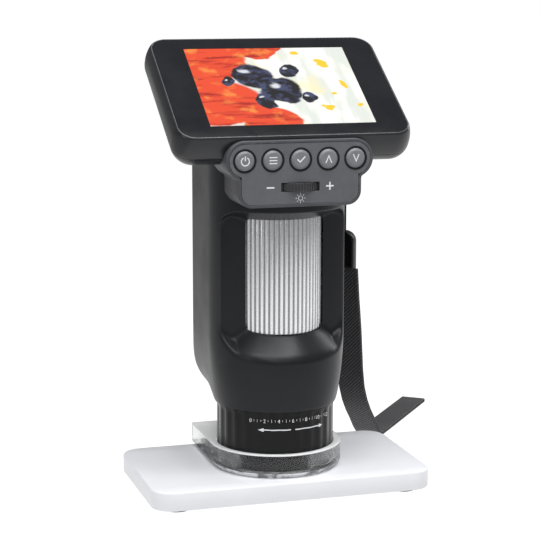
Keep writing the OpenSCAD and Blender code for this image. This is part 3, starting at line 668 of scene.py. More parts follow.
@dataclass(frozen=True)
class Picture(Finish):
    """A magnified flower on the lit display: red petals, a dark seed cluster and yellow grains."""

    strength: float = 1.15
    petals: tuple[tuple[Flat, Flat], ...] = (
        ((0.1, 0.84), (0.27, 0.3)), ((0.04, 0.3), (0.34, 0.29)), ((0.38, 0.02), (0.18, 0.2)),
        ((0.45, 0.99), (0.16, 0.14)))
    seeds: tuple[tuple[Flat, Flat], ...] = (
        ((0.36, 0.62), (0.11, 0.15)), ((0.5, 0.44), (0.13, 0.17)), ((0.4, 0.3), (0.07, 0.1)),
        ((0.59, 0.69), (0.07, 0.09)), ((0.66, 0.33), (0.05, 0.07)), ((0.2, 0.56), (0.05, 0.06)))
    grains: tuple[tuple[Flat, float], ...] = (
        ((0.82, 0.78), 0.035), ((0.9, 0.5), 0.028), ((0.76, 0.2), 0.03), ((0.7, 0.9), 0.022),
        ((0.94, 0.24), 0.02), ((0.83, 0.37), 0.016))

    def disc(self, graph: Graph, where: tuple[Socket, Socket], centre: Flat, radius: Flat,
             soft: float) -> Socket:
        """Return 1 inside an ellipse and 0 outside it.

        Args:
            graph: the graph.
            where: the two picture coordinates.
            centre: middle of the ellipse.
            radius: its two radii.
            soft: width of its edge, as a share of the radius.

        Returns:
            The mask.
        """
        parts = [graph.math("POWER", graph.math("DIVIDE", graph.math("SUBTRACT", part, mid), size), 2.0)
                 for part, mid, size in zip(where, centre, radius)]
        return graph.fit(graph.math("SQRT", graph.math("ADD", *parts)), 1 + soft, 1 - soft)

    def build(self, graph: Graph) -> bpy.types.Material:
        """Build the graph: ground, petals, seeds and grains one over the other.

        Args:
            graph: an empty graph.

        Returns:
            The material.
        """
        place = graph.coords("UV")
        warp = graph.noise(place, 5, 3)
        u_raw, v_raw, _ = graph.split(place)
        shift = graph.math("MULTIPLY", graph.math("SUBTRACT", warp, 0.5), 0.16)
        where = (graph.math("ADD", u_raw, shift), graph.math("SUBTRACT", v_raw, shift))
        streaks = graph.noise(graph.scaled(place, (9, 1.6, 1)), 1, 3)
        colour = graph.mix(graph.fit(streaks, 0.42, 0.6), (0.96, 0.95, 0.92), (0.74, 0.78, 0.72))
        haze = graph.fit(graph.noise(place, 3.2, 2), 0.5, 0.68)
        colour = graph.mix(graph.math("MULTIPLY", haze, 0.55), colour, (0.98, 0.86, 0.42))
        veins = graph.fit(graph.noise(graph.scaled(place, (3, 14, 1)), 1, 4), 0.36, 0.5)
        petal = graph.mix(veins, (0.42, 0.016, 0.008), (0.8, 0.07, 0.02))
        petal = graph.mix(graph.fit(graph.noise(place, 8, 4), 0.5, 0.7), petal, (0.9, 0.26, 0.05))
        for centre, radius in self.petals:
            colour = graph.mix(self.disc(graph, where, centre, radius, 0.05), colour, petal)
        husk = graph.mix(graph.fit(graph.noise(place, 14, 3), 0.45, 0.62), (0.008, 0.008, 0.012),
                         (0.05, 0.06, 0.13))
        for centre, radius in self.seeds:
            colour = graph.mix(self.disc(graph, where, centre, radius, 0.09), colour, husk)
            glint = (centre[0] - 0.3 * radius[0], centre[1] + 0.4 * radius[1])
            spot = self.disc(graph, where, glint, (radius[0] * 0.22, radius[1] * 0.18), 0.5)
            colour = graph.mix(graph.math("MULTIPLY", spot, 0.8), colour, (0.85, 0.88, 0.95))
        for centre, size in self.grains:
            grain = self.disc(graph, where, centre, (size, size * 1.33), 0.15)
            colour = graph.mix(grain, colour, (0.95, 0.6, 0.03))
        pixels = graph.fit(graph.cells(graph.scaled(place, (320, 240, 1)), 1), 0.2, 0.9, 1.0, 0.94)
        light = graph.math("MULTIPLY", pixels, self.strength)
        return graph.surface(Base_Color=(0.01, 0.01, 0.01), Roughness=0.3, Emission_Color=colour,
                             Emission_Strength=light, Specular_IOR_Level=0.2)


@dataclass(frozen=True)
class Ground(Finish):
    """Seamless pale studio floor, lit from below around the object and behind it."""

    glow: Flat = (0.97, 0.5)
    lean: float = 0.1388
    left_fade: Flat = (-0.2, -0.115)
    front_fade: Flat = (-0.19, -0.09)
    front_share: float = 0.75

    def build(self, graph: Graph) -> bpy.types.Material:
        """Build the graph: a light table whose glow falls off to the left and front.

        Args:
            graph: an empty graph.

        Returns:
            The material.
        """
        place = graph.coords()
        tone = graph.mix(graph.noise(place, 3, 2), shaded(self.colour, 0.98), self.colour)
        across, along, _ = graph.split(place)
        edge = graph.math("SUBTRACT", across, graph.math("MULTIPLY", along, self.lean))
        light = graph.math("MULTIPLY", graph.fit(edge, *self.left_fade, self.glow[1], self.glow[0]),
                           graph.fit(along, *self.front_fade, self.front_share, 1.0))
        return graph.surface(Base_Color=tone, Roughness=0.9, Specular_IOR_Level=0.0,
                             Emission_Color=(1.0, 1.0, 1.0), Emission_Strength=light)


# The shell's lip band is a painted highlight along the recess lip: side, half width, low, high and front,
# in metres.
SHELL = Moulded("charcoal_shell", srgb(29, 30, 33), roughness=0.3, shine=0.2,
                lip_highlight_band=(0.0272, 0.0011, 0.066, 0.119, -0.005))
HEAD = Moulded("charcoal_head", srgb(31, 32, 35), roughness=0.27, grain_depth=0.006, shine=0.5)
PANEL = Moulded("grey_panel", srgb(88, 89, 93), roughness=0.5, cloud=0.05, rub=0.2, shine=0.3)
SHELL_PANEL = Moulded("panel_shell", srgb(70, 71, 75), roughness=0.42, shine=0.3)
CAPS = Moulded("grey_caps", srgb(112, 113, 117), roughness=0.4, cloud=0.05, rub=0.3)
WHEEL = Moulded("wheel_black", srgb(46, 46, 50), roughness=0.34, shine=0.6)
WHITE = Moulded("white_plate", srgb(226, 227, 231), roughness=0.32, grain_depth=0.006, cloud=0.015, rub=0.0)
CLASP = Moulded("clasp_black", srgb(18, 18, 20), roughness=0.4, shine=0.25)
INNER = Moulded("inner_black", srgb(22, 22, 24), roughness=0.55, shine=0.2)
# The drum's grooves get painted shade, found from the radius.
DRUM = Metal("drum_silver", (0.92, 0.925, 0.945), roughness=0.24, metallic=0.62,
             stretch=(2600, 2600, 12), groove_shade=0.72, brush=0.0003)
STEEL = Metal("screw_steel", (0.6, 0.61, 0.63), roughness=0.28, stretch=(900, 900, 900))
LCD = Metal("lcd_frame", (0.4, 0.41, 0.43), roughness=0.4, stretch=(60, 1500, 1500))
RING = Gloss("ring_black", srgb(8, 8, 10), roughness=0.14, shine=0.2)
GLASS = Gloss("glass_black", srgb(24, 25, 28), roughness=0.3, wave=0.004, shine=0.13)
# The lip's lighter grey is a painted highlight that stands for the thin highlight line along the bezel's
# edge.
LIP_HIGHLIGHT = Moulded("head_lip_highlight", srgb(70, 72, 76), roughness=0.28, rub=0.6, shine=0.5)
CLEAR = Acrylic("holder_acrylic", (0.975, 0.98, 0.99))
FOOT = Rubber("foot_rubber", srgb(24, 24, 25))
PCB = Board("circuit_board", srgb(24, 88, 52))
WRAP = Gloss("battery_wrap", srgb(62, 88, 150), roughness=0.3)
LED = Translucent("led_body", (0.98, 0.95, 0.82), roughness=0.35, amount=0.35)
MILKY = Translucent("diffuser_plastic", (0.93, 0.95, 0.97), roughness=0.5, amount=0.6)
LENS = Translucent("lens_glass", (0.9, 0.95, 1.0), roughness=0.02, amount=1.0)
STRAP = Woven("strap_twill", srgb(22, 22, 24))
CORD = Braid("cord_braid", srgb(20, 20, 22))
INK = Ink("white_ink", srgb(226, 227, 230))
SCREEN = Picture("screen_flower", (0.9, 0.9, 0.9))
FLOOR = Ground("studio_floor", (0.16, 0.16, 0.16))


# ------------------------------------------------------------------------------ surfaces


def polar(radius: float, degrees: float, z: float) -> Point:
    """Return a point on a circle about the optical axis.

    Args:
        radius: distance from the axis.
        degrees: angle from +X towards +Y.
        z: height.

    Returns:
        The point.
    """
    angle = math.radians(degrees)
    return radius * math.cos(angle), radius * math.sin(angle), z


def steps(low: float, high: float, count: int) -> list[float]:
    """Return evenly spaced values, both ends included.

    Args:
        low: first value.
        high: last value.
        count: number of intervals.

    Returns:
        The values.
    """
    return [low + (high - low) * i / count for i in range(count + 1)]


def arc(centre: Flat, radius: float, start: float, end: float, count: int) -> list[Flat]:
    """Return points on an arc.

    Args:
        centre: its centre.
        radius: its radius.
        start: first angle in degrees.
        end: last angle in degrees.
        count: number of intervals.

    Returns:
        The points.
    """
    return [(centre[0] + radius * math.cos(math.radians(a)), centre[1] + radius * math.sin(math.radians(a)))
            for a in steps(start, end, count)]


def smooth(t: float) -> float:
    """Ease from 0 to 1.

    Args:
        t: position, clamped to 0..1.

    Returns:
        The eased value.
    """
    t = max(0.0, min(1.0, t))
    return t * t * (3 - 2 * t)


def soft_min(a: float, b: float, width: float) -> float:
    """Return the smaller of two values with a rounded change-over.

    Args:
        a: first value.
        b: second value.
        width: size of the rounding.

    Returns:
        The blended minimum.
    """
    h = max(0.0, min(1.0, 0.5 + 0.5 * (b - a) / width))
    return b + (a - b) * h - width * h * (1 - h)


@dataclass
class Surface:
    """Collects rows of points into one mesh and turns it into a piece."""

    verts: list[Point] = field(default_factory=list)
    faces: list[tuple[int, ...]] = field(default_factory=list)
    uvs: list[Flat] = field(default_factory=list)

    def row(self, points: Iterable[Point]) -> list[int]:
        """Store a row of points.

        Args:
            points: the points.

        Returns:
            Their indices.
        """
        start = len(self.verts)
        self.verts.extend(points)
        return list(range(start, len(self.verts)))

    def strip(self, rows: Sequence[Sequence[Point]], closed: bool = True, loop: bool = False,
              skip: Callable[[int, int], bool] | None = None) -> list[list[int]]:
        """Join rows of equally many points with quads.

        Args:
            rows: the rows.
            closed: join each row's end to its start.
            loop: join the last row to the first.
            skip: says whether the cell of a row and column stays open.

        Returns:
            The indices of each row.
        """
        marks = [self.row(points) for points in rows]
        count = len(rows[0])
        pairs = len(marks) if loop else len(marks) - 1
        for k in range(pairs):
            low, high = marks[k], marks[(k + 1) % len(marks)]
            for i in range(count if closed else count - 1):
                if skip is not None and skip(k, i):
                    continue
                j = (i + 1) % count
                self.faces.append((low[i], low[j], high[j], high[i]))
        return marks

    def cap(self, marks: Sequence[int]) -> None:
        """Close a row with one face.

        Args:
            marks: indices of the row.
        """
        self.faces.append(tuple(marks))

    def capped(self, rows: Sequence[Sequence[Point]]) -> None:
        """Join rows with quads and close both ends.

        Args:
            rows: the rows.
        """
        marks = self.strip(rows)
        self.cap(marks[0])
        self.cap(marks[-1])

    def make(self, name: str, finish: Finish, body: str, sharp: float = 32,
             solid: bool = True) -> bpy.types.Object:
        """Turn the rows into a piece that rides on a body.

        Args:
            name: name of the piece.
            finish: its finish.
            body: the body that it rides on.
            sharp: edges that bend more than this many degrees stay sharp.
            solid: make all faces look outwards.

        Returns:
            The new object.
        """
        mesh = bpy.data.meshes.new(name)
        mesh.from_pydata([tuple(c * MM for c in v) for v in self.verts], [], self.faces)
        if self.uvs:
            layer = mesh.uv_layers.new(name="weave")
            for loop in mesh.loops:
                layer.data[loop.index].uv = self.uvs[loop.vertex_index]
        return adopt(mesh, name, finish, body, sharp, solid, merge=not self.uvs)


def adopt(mesh: bpy.types.Mesh, name: str, finish: Finish, body: str, sharp: float = 32,
          solid: bool = True, merge: bool = True) -> bpy.types.Object:
    """Clean a mesh, shade it and make it a piece.

    Args:
        mesh: the mesh, in metres.
        name: name of the piece.
        finish: its finish.
        body: the body that it rides on.
        sharp: limit angle for smooth shading, in degrees.
        solid: make all faces look outwards.
        merge: join vertices that coincide.

    Returns:
        The new object.
    """
    work = bmesh.new()
    work.from_mesh(mesh)
    if merge:
        bmesh.ops.remove_doubles(work, verts=work.verts, dist=2e-6)
        bmesh.ops.dissolve_degenerate(work, edges=work.edges, dist=1e-7)
    if solid:
        bmesh.ops.recalc_face_normals(work, faces=work.faces)
    work.to_mesh(mesh)
    work.free()
    mesh.polygons.foreach_set("use_smooth", [True] * len(mesh.polygons))
    mesh.set_sharp_from_angle(angle=math.radians(sharp))
    mesh.materials.append(finish.material())
    piece = bpy.data.objects.new(name, mesh)
    bpy.context.scene.collection.objects.link(piece)
    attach(piece, body)
    LOG.info("%s: %d faces, rides on %s", name, len(mesh.polygons), body)
    return piece


def turned(profile: Sequence[Flat], count: int, name: str, finish: Finish, body: str,
           place: Callable[[float, float, float], Point] | None = None,
           loop: bool = False) -> bpy.types.Object:
    """Turn a profile about an axis.

    Args:
        profile: pairs of radius and height.
        count: points around.
        name: name of the piece.
        finish: its finish.
        body: the body that it rides on.
        place: maps a local point (x, y, height) into the model.
        loop: join the profile's end to its start.

    Returns:
        The piece.
    """
    put = place or (lambda x, y, z: (x, y, z))
    surface = Surface()
    rows = []
    for radius, height in profile:
        rows.append([put(*polar(max(radius, 0.0005), 360 * i / count, height)) for i in range(count)])
    if loop:
        surface.strip(rows, loop=True)
    else:
        surface.capped(rows)
    return surface.make(name, finish, body)


def ribbed(radius: float, ribs: int, depth: float, shape: Sequence[Flat], levels: Sequence[Flat],
           bore: float) -> list[list[Point]]:
    """Return the rings of a ribbed wheel about the optical axis: outside upwards, bore downwards.

    Args:
        radius: radius over the ribs.
        ribs: number of ribs.
        depth: depth of the grooves.
        shape: place in one pitch and share of the depth, for each point of a rib.
        levels: height and least inset of each outer ring.
        bore: radius of the bore.

    Returns:
        The rings.
    """
    places = [((i + a) * 360 / ribs, d * depth) for i in range(ribs) for a, d in shape]
    outside = [[polar(radius - max(inset, sunk), degrees, z) for degrees, sunk in places]
               for z, inset in levels]
    inside = [[polar(bore, degrees, z) for degrees, _ in places] for z in (levels[-1][0], levels[0][0])]
    return outside + inside


def flat_mesh(outlines: Sequence[Sequence[Flat]], depth: float,
              place: Callable[[float, float, float], Point], name: str) -> bpy.types.Mesh:
    """Fill outlines, holes included, and give them a thickness.

    Args:
        outlines: closed outlines; one inside another is a hole.
        depth: thickness along the local third axis.
        place: maps a local point (a, b, height) into the model, in millimetres.
        name: name of the mesh.

    Returns:
        The mesh, in metres.
    """
    curve = bpy.data.curves.new(name + "_outline", "CURVE")
    curve.dimensions = "2D"
    curve.fill_mode = "BOTH"
    curve.extrude = depth / 2
    for outline in outlines:
        spline = curve.splines.new("POLY")
        spline.points.add(len(outline) - 1)
        for point, (a, b) in zip(spline.points, outline):
            point.co = (a, b, 0, 1)
        spline.use_cyclic_u = True
    holder = bpy.data.objects.new(name + "_outline", curve)
    bpy.context.scene.collection.objects.link(holder)
    bpy.context.view_layer.update()
    shape = holder.evaluated_get(bpy.context.evaluated_depsgraph_get())
    mesh = bpy.data.meshes.new_from_object(shape)
    bpy.data.objects.remove(holder)
    for vertex in mesh.vertices:
        vertex.co = Vector(place(*vertex.co)) * MM
    mesh.name = name
    return mesh


def text_outline(text: str, size: float) -> bpy.types.Mesh:
    """Return plain characters as a thin mesh, centred on the origin.

    Args:
        text: the characters.
        size: their height in millimetres.

    Returns:
        The mesh, in millimetres.
    """
    curve = bpy.data.curves.new("digits", "FONT")
    curve.body = text
    curve.size = size / 0.72
    curve.align_x = "CENTER"
    curve.extrude = 0.01
    holder = bpy.data.objects.new("digits", curve)
    bpy.context.scene.collection.objects.link(holder)
    bpy.context.view_layer.update()
    mesh = bpy.data.meshes.new_from_object(holder.evaluated_get(bpy.context.evaluated_depsgraph_get()))
    bpy.data.objects.remove(holder)
    return mesh


def paint(finish: Finish, *nodes: str) -> None:
    """Give CAD nodes a finish.

    Args:
        finish: the finish.
        *nodes: names of the nodes.
    """
    for name in nodes:
        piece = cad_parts[name]
        if not piece.material_slots:
            piece.data.materials.append(finish.material())
        for slot in piece.material_slots:
            slot.material = finish.material()
        LOG.info("%s: CAD node in %s", name, finish.name)


# ------------------------------------------------------------------------------ base and holder


@dataclass
class StandBase:
    """White base plate on four rubber feet."""

    size: Flat = (121.2, 70.3)
    middle: float = 1.5
    corner: float = 9.0
    foot: float = 1.3

    def outline(self, inset: float, z: float) -> list[Point]:
        """Return the plate's outline.

        Args:
            inset: how much smaller it is.
            z: its height.

        Returns:
            The points.
        """
        radius = self.corner - inset
        points: list[Point] = []
        for sx, sy, start in ((1, -1, -90), (1, 1, 0), (-1, 1, 90), (-1, -1, 180)):
            centre = (sx * (self.size[0] / 2 - self.corner),
                      self.middle + sy * (self.size[1] / 2 - self.corner))
            points += [(x, y, z) for x, y in arc(centre, radius, start, start + 90, 14)]
        return points

    def build(self) -> None:
        """Build the plate with softened edges and dress the feet and screws."""
        surface = Surface()
        top = PLATE_TOP
        rows = [self.outline(inset, z) for inset, z in (
            (8.0, self.foot), (0.7, self.foot), (0.25, self.foot + 0.12), (0.0, self.foot + 0.5),
            (0.0, top - 0.62), (0.06, top - 0.36), (0.24, top - 0.12), (0.5, top), (8.0, top))]
        surface.capped(rows)
        piece = surface.make("plate_body", WHITE, Body.BASE.value, sharp=50)
        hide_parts("base_plate")
        paint(FOOT, "rubber_feet")
        paint(STEEL, "holder_screws")


@dataclass
class ClearHolder:
    """Clear holder: round at the front, square at the back, with a stepped socket."""

    radius: float = 28.3
    back: float = 35.5
    corner: float = 1.5
    height: float = 10.2
    socket: float = 25.3
    ledge: Flat = (22.2, 2.1)
    bevel: Flat = (2.0, 2.5)

    def angles(self) -> list[float]:
        """Return the sampling angles, denser at the rear corners."""
        values = set(steps(-180, 177.5, 143)) | set(steps(48, 55, 21)) | set(steps(125, 132, 21))
        return sorted(values)

    def edge(self, degrees: float, inset: float, z: float) -> Point:
        """Return a point of the outer outline, drawn in at the front and sides.

        Args:
            degrees: direction from the axis.
            inset: how far it is drawn in.
            z: height.

        Returns:
            The point.
        """
        c, s = math.cos(math.radians(degrees)), math.sin(math.radians(degrees))
        if s <= 0:
            return (self.radius - inset) * c, (self.radius - inset) * s, z
        reach = min(self.radius / abs(c) if abs(c) > 1e-6 else 1e9, self.back / s)
        x, y = reach * c, reach * s
        mid = (self.radius - self.corner, self.back - self.corner)
        if abs(x) > mid[0] and y > mid[1]:
            b = abs(c) * mid[0] + s * mid[1]
            reach = b + math.sqrt(max(b * b - mid[0] ** 2 - mid[1] ** 2 + self.corner ** 2, 0))
            x, y = reach * c, reach * s
        limit = self.radius - inset
        return math.copysign(min(abs(x), limit), x), y, z

    def build(self) -> None:
        """Build the holder as one closed body of rings."""
        angles = self.angles()
        top = PLATE_TOP + self.height
        foot = PLATE_TOP
        rows = []
        for inset, z in ((self.bevel[0], foot), (self.bevel[0] - 0.1, foot + 0.06),
                         (0.06, foot + self.bevel[1] - 0.06), (0.0, foot + self.bevel[1] + 0.05),
                         (0.0, top - 0.4), (0.1, top - 0.12), (0.4, top)):
            rows.append([self.edge(a, inset, z) for a in angles])
        for r, z in ((self.socket + 0.3, top), (self.socket + 0.08, top - 0.1), (self.socket, top - 0.3),
                     (self.socket, foot + self.ledge[1]), (self.ledge[0], foot + self.ledge[1]),
                     (self.ledge[0], foot)):
            rows.append([polar(r, a, z) for a in angles])
        surface = Surface()
        surface.strip(rows, loop=True)
        piece = surface.make("holder_block", CLEAR, Body.BASE.value, sharp=25)
        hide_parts("clear_holder")


@dataclass
class DistanceRing:
    """Gloss black ring with wide shallow flutes, printed arrows and a scale."""

    radius: float = 25.0
    bore: float = 21.66
    flutes: int = 28
    flute_radius: float = 9.8
    flute_depth: float = 0.3
    span: Flat = (2.2, 32.7)
    fluted: Flat = (3.4, 27.0)
    arrow_z: float = 20.3
    scale_z: float = 23.3

    def reach(self, degrees: float, share: float) -> float:
        """Return the radius of the fluted side.

        Args:
            degrees: direction.
            share: how deep the flutes are there, from 0 to 1.

        Returns:
            The radius.
        """
        pitch = 360 / self.flutes
        off = (degrees + pitch / 2) % pitch - pitch / 2
        far = self.radius + self.flute_radius - self.flute_depth
        under = self.flute_radius ** 2 - (far * math.sin(math.radians(off))) ** 2
        cut = far * math.cos(math.radians(off)) - math.sqrt(under) if under > 0 else self.radius
        return self.radius - share * max(0.0, self.radius - cut)

    def build(self) -> None:
        """Build the ring's body and its print."""
        pitch = 360 / self.flutes
        angles = [i * pitch + d * pitch for i in range(self.flutes)
                  for d in (-0.5, -0.46, -0.43, -0.36, -0.25, -0.12, 0, 0.12, 0.25, 0.36, 0.43, 0.46)]
        low, high = (z + PLATE_TOP for z in self.span)
        start, end = (z + PLATE_TOP for z in self.fluted)
        rows = [[polar(r, a, z) for a in angles] for r, z in (
            (self.bore, high), (self.bore, high - 2), (self.bore + 0.34, high - 2),
            (self.bore + 0.34, low), (self.radius - 0.7, low), (self.radius - 0.2, low + 0.15))]
        for z, share in ((low + 0.6, 0), (start, 0), (start + 0.3, 0.35), (start + 0.9, 0.85),
                         (start + 1.8, 1), (end - 1.8, 1), (end - 0.9, 0.85), (end - 0.3, 0.35), (end, 0)):
            rows.append([polar(self.reach(a, share), a, z) for a in angles])
        rows += [[polar(r, a, z) for a in angles] for r, z in (
            (self.radius, high - 0.6), (self.radius - 0.2, high - 0.15), (self.radius - 0.7, high))]
        surface = Surface()
        surface.strip(rows, loop=True)
        piece = surface.make("ring_body", RING, Body.RING.value, sharp=24)
        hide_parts("distance_ring")
        self.print_arrows()
        self.print_scale()

    def on_side(self, along: float, z: float, lift: float) -> Point:
        """Place a point of the print on the ring's side.

        Args:
            along: angle in degrees from the front towards +X.
            z: height above the plate.
            lift: height above the surface.

        Returns:
            The point.
        """
        degrees = along - 90
        return polar(self.reach(degrees, 1) + lift, degrees, z + PLATE_TOP)

    def print_arrows(self) -> None:
        """Print the two arrows that point apart."""
        surface = Surface()
        for tip, tail, sign in ((-33.5, -1.2, 1), (36.5, 3.2, -1)):
            neck = tip + sign * 5.6
            half = [(tip, 0.02), (tip + sign * 1.4, 0.2), (tip + sign * 2.8, 0.42), (neck, 0.8),
                    (neck + sign * 0.25, 0.24)]
            half += [(a, 0.24) for a in steps(neck + sign * 1.5, tail, 22)]
            surface.strip([[self.on_side(a, self.arrow_z + h, 0.02) for a, h in half],
                           [self.on_side(a, self.arrow_z, 0.03) for a, h in half],
                           [self.on_side(a, self.arrow_z - h, 0.02) for a, h in half]], closed=False)
        surface.make("ring_arrows", INK, Body.RING.value, solid=False)

    def print_scale(self) -> None:
        """Print a row of numbers with short strokes between them."""
        mesh = bpy.data.meshes.new("ring_scale")
        verts: list[Point] = []
        faces: list[tuple[int, ...]] = []
        degree = math.radians(1) * self.radius
        for k in range(7):
            at = -41 + 14 * k
            digits = text_outline(str(2 * k), 1.6)
            start = len(verts)
            verts += [self.on_side(at + v.co.x / degree, self.scale_z + v.co.y, 0.02 + v.co.z)
                      for v in digits.vertices]
            faces += [tuple(start + i for i in p.vertices) for p in digits.polygons]
            for j in range(1, 4 if k < 6 else 0):
                mid = at + 14 * j / 4
                tall = 0.7 if j == 2 else 0.42
                start = len(verts)
                for a, h in ((-0.16, -tall), (0.16, -tall), (0.16, tall), (-0.16, tall)):
                    verts.append(self.on_side(mid + a, self.scale_z + 0.87 + h, 0.025))
                faces.append((start, start + 1, start + 2, start + 3))
        mesh.from_pydata([tuple(c * MM for c in v) for v in verts], [], faces)
        adopt(mesh, "ring_scale", INK, Body.RING.value, solid=False, merge=False)


# ------------------------------------------------------------------------------ body


@dataclass
class MicroscopeBody:
    """Body shell: round-mouthed bowl, D-shaped column and scooped recess around the drum."""

    radius: float = 29.2
    rear: Flat = (34.0, 8.0)
    mouth: Flat = (25.35, 25.9)
    bowl: Flat = (28.1, 55.7)
    hole_angles: Flat = (-164.0, -16.0)
    hole_z: Flat = (46.0, 113.6)
    seam: Flat = (39.42, 56.7)
    lip_x: float = 27.6
    lip_z: Flat = (50.2, 112.1)
    lip_corner: Flat = (12.5, 7.0)
    window: Flat = (0.5, 16.8)
    window_z: Flat = (59.4, 108.0)
    window_sag: float = 1.6
    pocket: float = 20.45
    wall: Flat = (16.3, -12.0)
    lip_y: float = -9.4
    recess: float = 20.5
    slopes: Flat = (1.06, 0.47)
    focus: Flat = (0.0, 82.0)
    window_corner: Flat = (1.6, 2.4)
    fold: Flat = (0.9, 1.2)
    chin: float = -35.5
    hidden: float = 1.5

    def reach(self, degrees: float) -> float:
        """Return the distance from the axis to the column's outline.

        Args:
            degrees: direction.

        Returns:
            The distance.
        """
        c, s = abs(math.cos(math.radians(degrees))), math.sin(math.radians(degrees))
        back, corner = self.rear
        flat_x, flat_y = self.radius - corner, back - corner
        if s <= 0:
            return self.radius
        if self.radius * s <= flat_y * c:
            return self.radius / c
        if back * c <= flat_x * s:
            return back / s
        b = c * flat_x + s * flat_y
        return b + math.sqrt(b * b - flat_x ** 2 - flat_y ** 2 + corner ** 2)

    def share(self, degrees: float) -> float:
        """Return how near a direction is to the column's rear corner, from 0 to 1.

        Args:
            degrees: direction from the axis, in degrees.

        Returns:
            The share.
        """
        back, corner = self.rear
        far = math.hypot(self.radius - corner, back - corner) + corner
        return max(0.0, min(1.0, (self.reach(degrees) - self.radius) / (far - self.radius)))

    def swell(self, zp: float, share: float = 0.0) -> float:
        """Return how far the bowl has opened at a height, faster towards the rear corners."""
        t = max(0.0, min(1.0, (zp - self.bowl[0]) / (self.bowl[1] - self.bowl[0])))
        return (1 - (1 - t) ** (1.6 + 3.2 * share)) ** (0.75 + 0.25 * share)

    def skin(self, degrees: float, zp: float) -> Point:
        """Return a point of the outer skin.

        Args:
            degrees: direction.
            zp: height above the plate.

        Returns:
            The point.
        """
        opened = self.swell(zp, self.share(degrees))
        radius = self.mouth[1] + opened * (self.reach(degrees) - self.mouth[1])
        return polar(radius, degrees, zp + PLATE_TOP)

    def front_y(self, x: float, zp: float) -> float:
        """Return the y of the round front."""
        radius = self.mouth[1] + self.swell(zp) * (self.radius - self.mouth[1])
        return -math.sqrt(max(radius * radius - x * x, 0))

    def top(self, y: float) -> float:
        """Return the height above the plate at which the column is inside the head.

        Args:
            y: depth position.

        Returns:
            The height.
        """
        s, c = math.sin(TILT), math.cos(TILT)
        away, middle = y - HEAD_CENTRE[1], HEAD_CENTRE[2] - PLATE_TOP
        under = middle + (away - HEAD_DEPTH * s) / c * s - HEAD_DEPTH * c
        flank = middle + (self.chin - away * c) / s
        return max(under, flank) + self.hidden

    def angles(self) -> list[float]:
        """Return the directions of the grid, from the recess's left edge once around.

        Returns:
            The directions, in degrees.
        """
        left, right = self.hole_angles
        seam = self.seam[0]
        return (steps(left, right, 74)[:-1] + steps(right, seam, 20)[:-1] + steps(seam, 180 - seam, 40)[:-1]
                + steps(180 - seam, 360 + left, 20)[:-1])

    def levels(self) -> list[float]:
        """Return the heights of the grid below the head.

        Returns:
            The heights.
        """
        low, high = self.bowl
        shares = (0, 0.008, 0.025, 0.05, 0.085, 0.13, 0.18, 0.24, 0.31, 0.39, 0.47, 0.56)
        values = [low + t * (high - low) for t in shares] + [self.hole_z[0], 48.5, 51, 53.5, 55.7, 56.7]
        return values + steps(59.5, 110.5, 17) + [112, self.hole_z[1]]

    def lip_distance(self, x: float, zp: float) -> float:
        """Return how far a point lies inside the recess's rim, seen from the front.

        Args:
            x: place across the front.
            zp: height above the plate.

        Returns:
            The distance, positive inside the rim.
        """
        middle = (self.lip_z[0] + self.lip_z[1]) / 2
        corner = self.lip_corner[0] if zp < middle else self.lip_corner[1]
        qx = abs(x) - self.lip_x + corner
        qz = abs(zp - middle) - (self.lip_z[1] - self.lip_z[0]) / 2 + corner
        return corner - math.hypot(max(qx, 0), max(qz, 0)) - min(max(qx, qz), 0)

    def recess_y(self, x: float, zp: float) -> float:
        """Return the y of the recess: side wall, conical floor and ceiling, blended together.

        Args:
            x: place across the front.
            zp: height above the plate.

        Returns:
            The y of the recess.
        """
        off = max(0.0, abs(x) - self.wall[0]) / (self.lip_x - self.wall[0])
        wall = self.wall[1] + (self.lip_y - self.wall[1]) * off - 1.5 * off * (1 - off)
        value = wall
        floor = self.recess + (self.window_z[0] - zp) / self.slopes[0]
        ceiling = self.recess + (zp - self.window_z[1]) / self.slopes[1]
        for radius, flat in ((floor, 0.78), (ceiling, 1.0)):
            if radius > 0:
                bend = radius - math.sqrt(max(radius * radius - x * x, 0))
                value = soft_min(value, flat * bend - radius, 2.6)
        outer = self.front_y(x, zp)
        low = smooth((72 - zp) / 20)
        value = soft_min(value, outer + (3.2 - 1.4 * low) * self.lip_distance(x, zp), 1.0)
        return -soft_min(-outer, -value, 1.2 + 1.3 * low)

    def lip_point(self, x: float, zp: float) -> Flat:
        """Project a point onto the recess's rim, along the line from the window's middle.

        Args:
            x: place across the front.
            zp: height above the plate.

        Returns:
            The point on the rim, as x and height.
        """
        cx, cz = self.focus
        low, high = 0.2, 1.0
        for _ in range(40):
            mid = (low + high) / 2
            inside = self.lip_distance(cx + mid * (x - cx), cz + mid * (zp - cz)) > 0
            low, high = (mid, high) if inside else (low, mid)
        return cx + high * (x - cx), cz + high * (zp - cz)

    def window_point(self, x: float, zp: float) -> Flat:
        """Project a point onto the drum window's outline, whose lower edge sags in the middle.

        Args:
            x: place across the front.
            zp: height above the plate.

        Returns:
            The point on the window, as x and height.
        """
        cx, wide = self.window
        cz = (self.window_z[0] + self.window_z[1]) / 2
        half = self.window_z[1] - cz
        dx, dz = x - cx, zp - cz
        scale = min(wide / abs(dx) if dx else 1e9, half / abs(dz) if dz else 1e9)
        wx, wz = cx + scale * dx, cz + scale * dz
        corner = self.window_corner[0 if dz > 0 else 1]
        ox, oz = abs(wx - cx) - wide + corner, abs(wz - cz) - half + corner
        if ox > 0 and oz > 0:
            length = math.hypot(ox, oz)
            fix = corner / length if length > corner else 1
            wx = cx + math.copysign(wide - corner + ox * fix, wx - cx)
            wz = cz + math.copysign(half - corner + oz * fix, wz - cz)
        rise = self.window_sag * ((wx - cx) / wide) ** 2 * smooth((cz - wz) / half)
        return wx, wz + rise

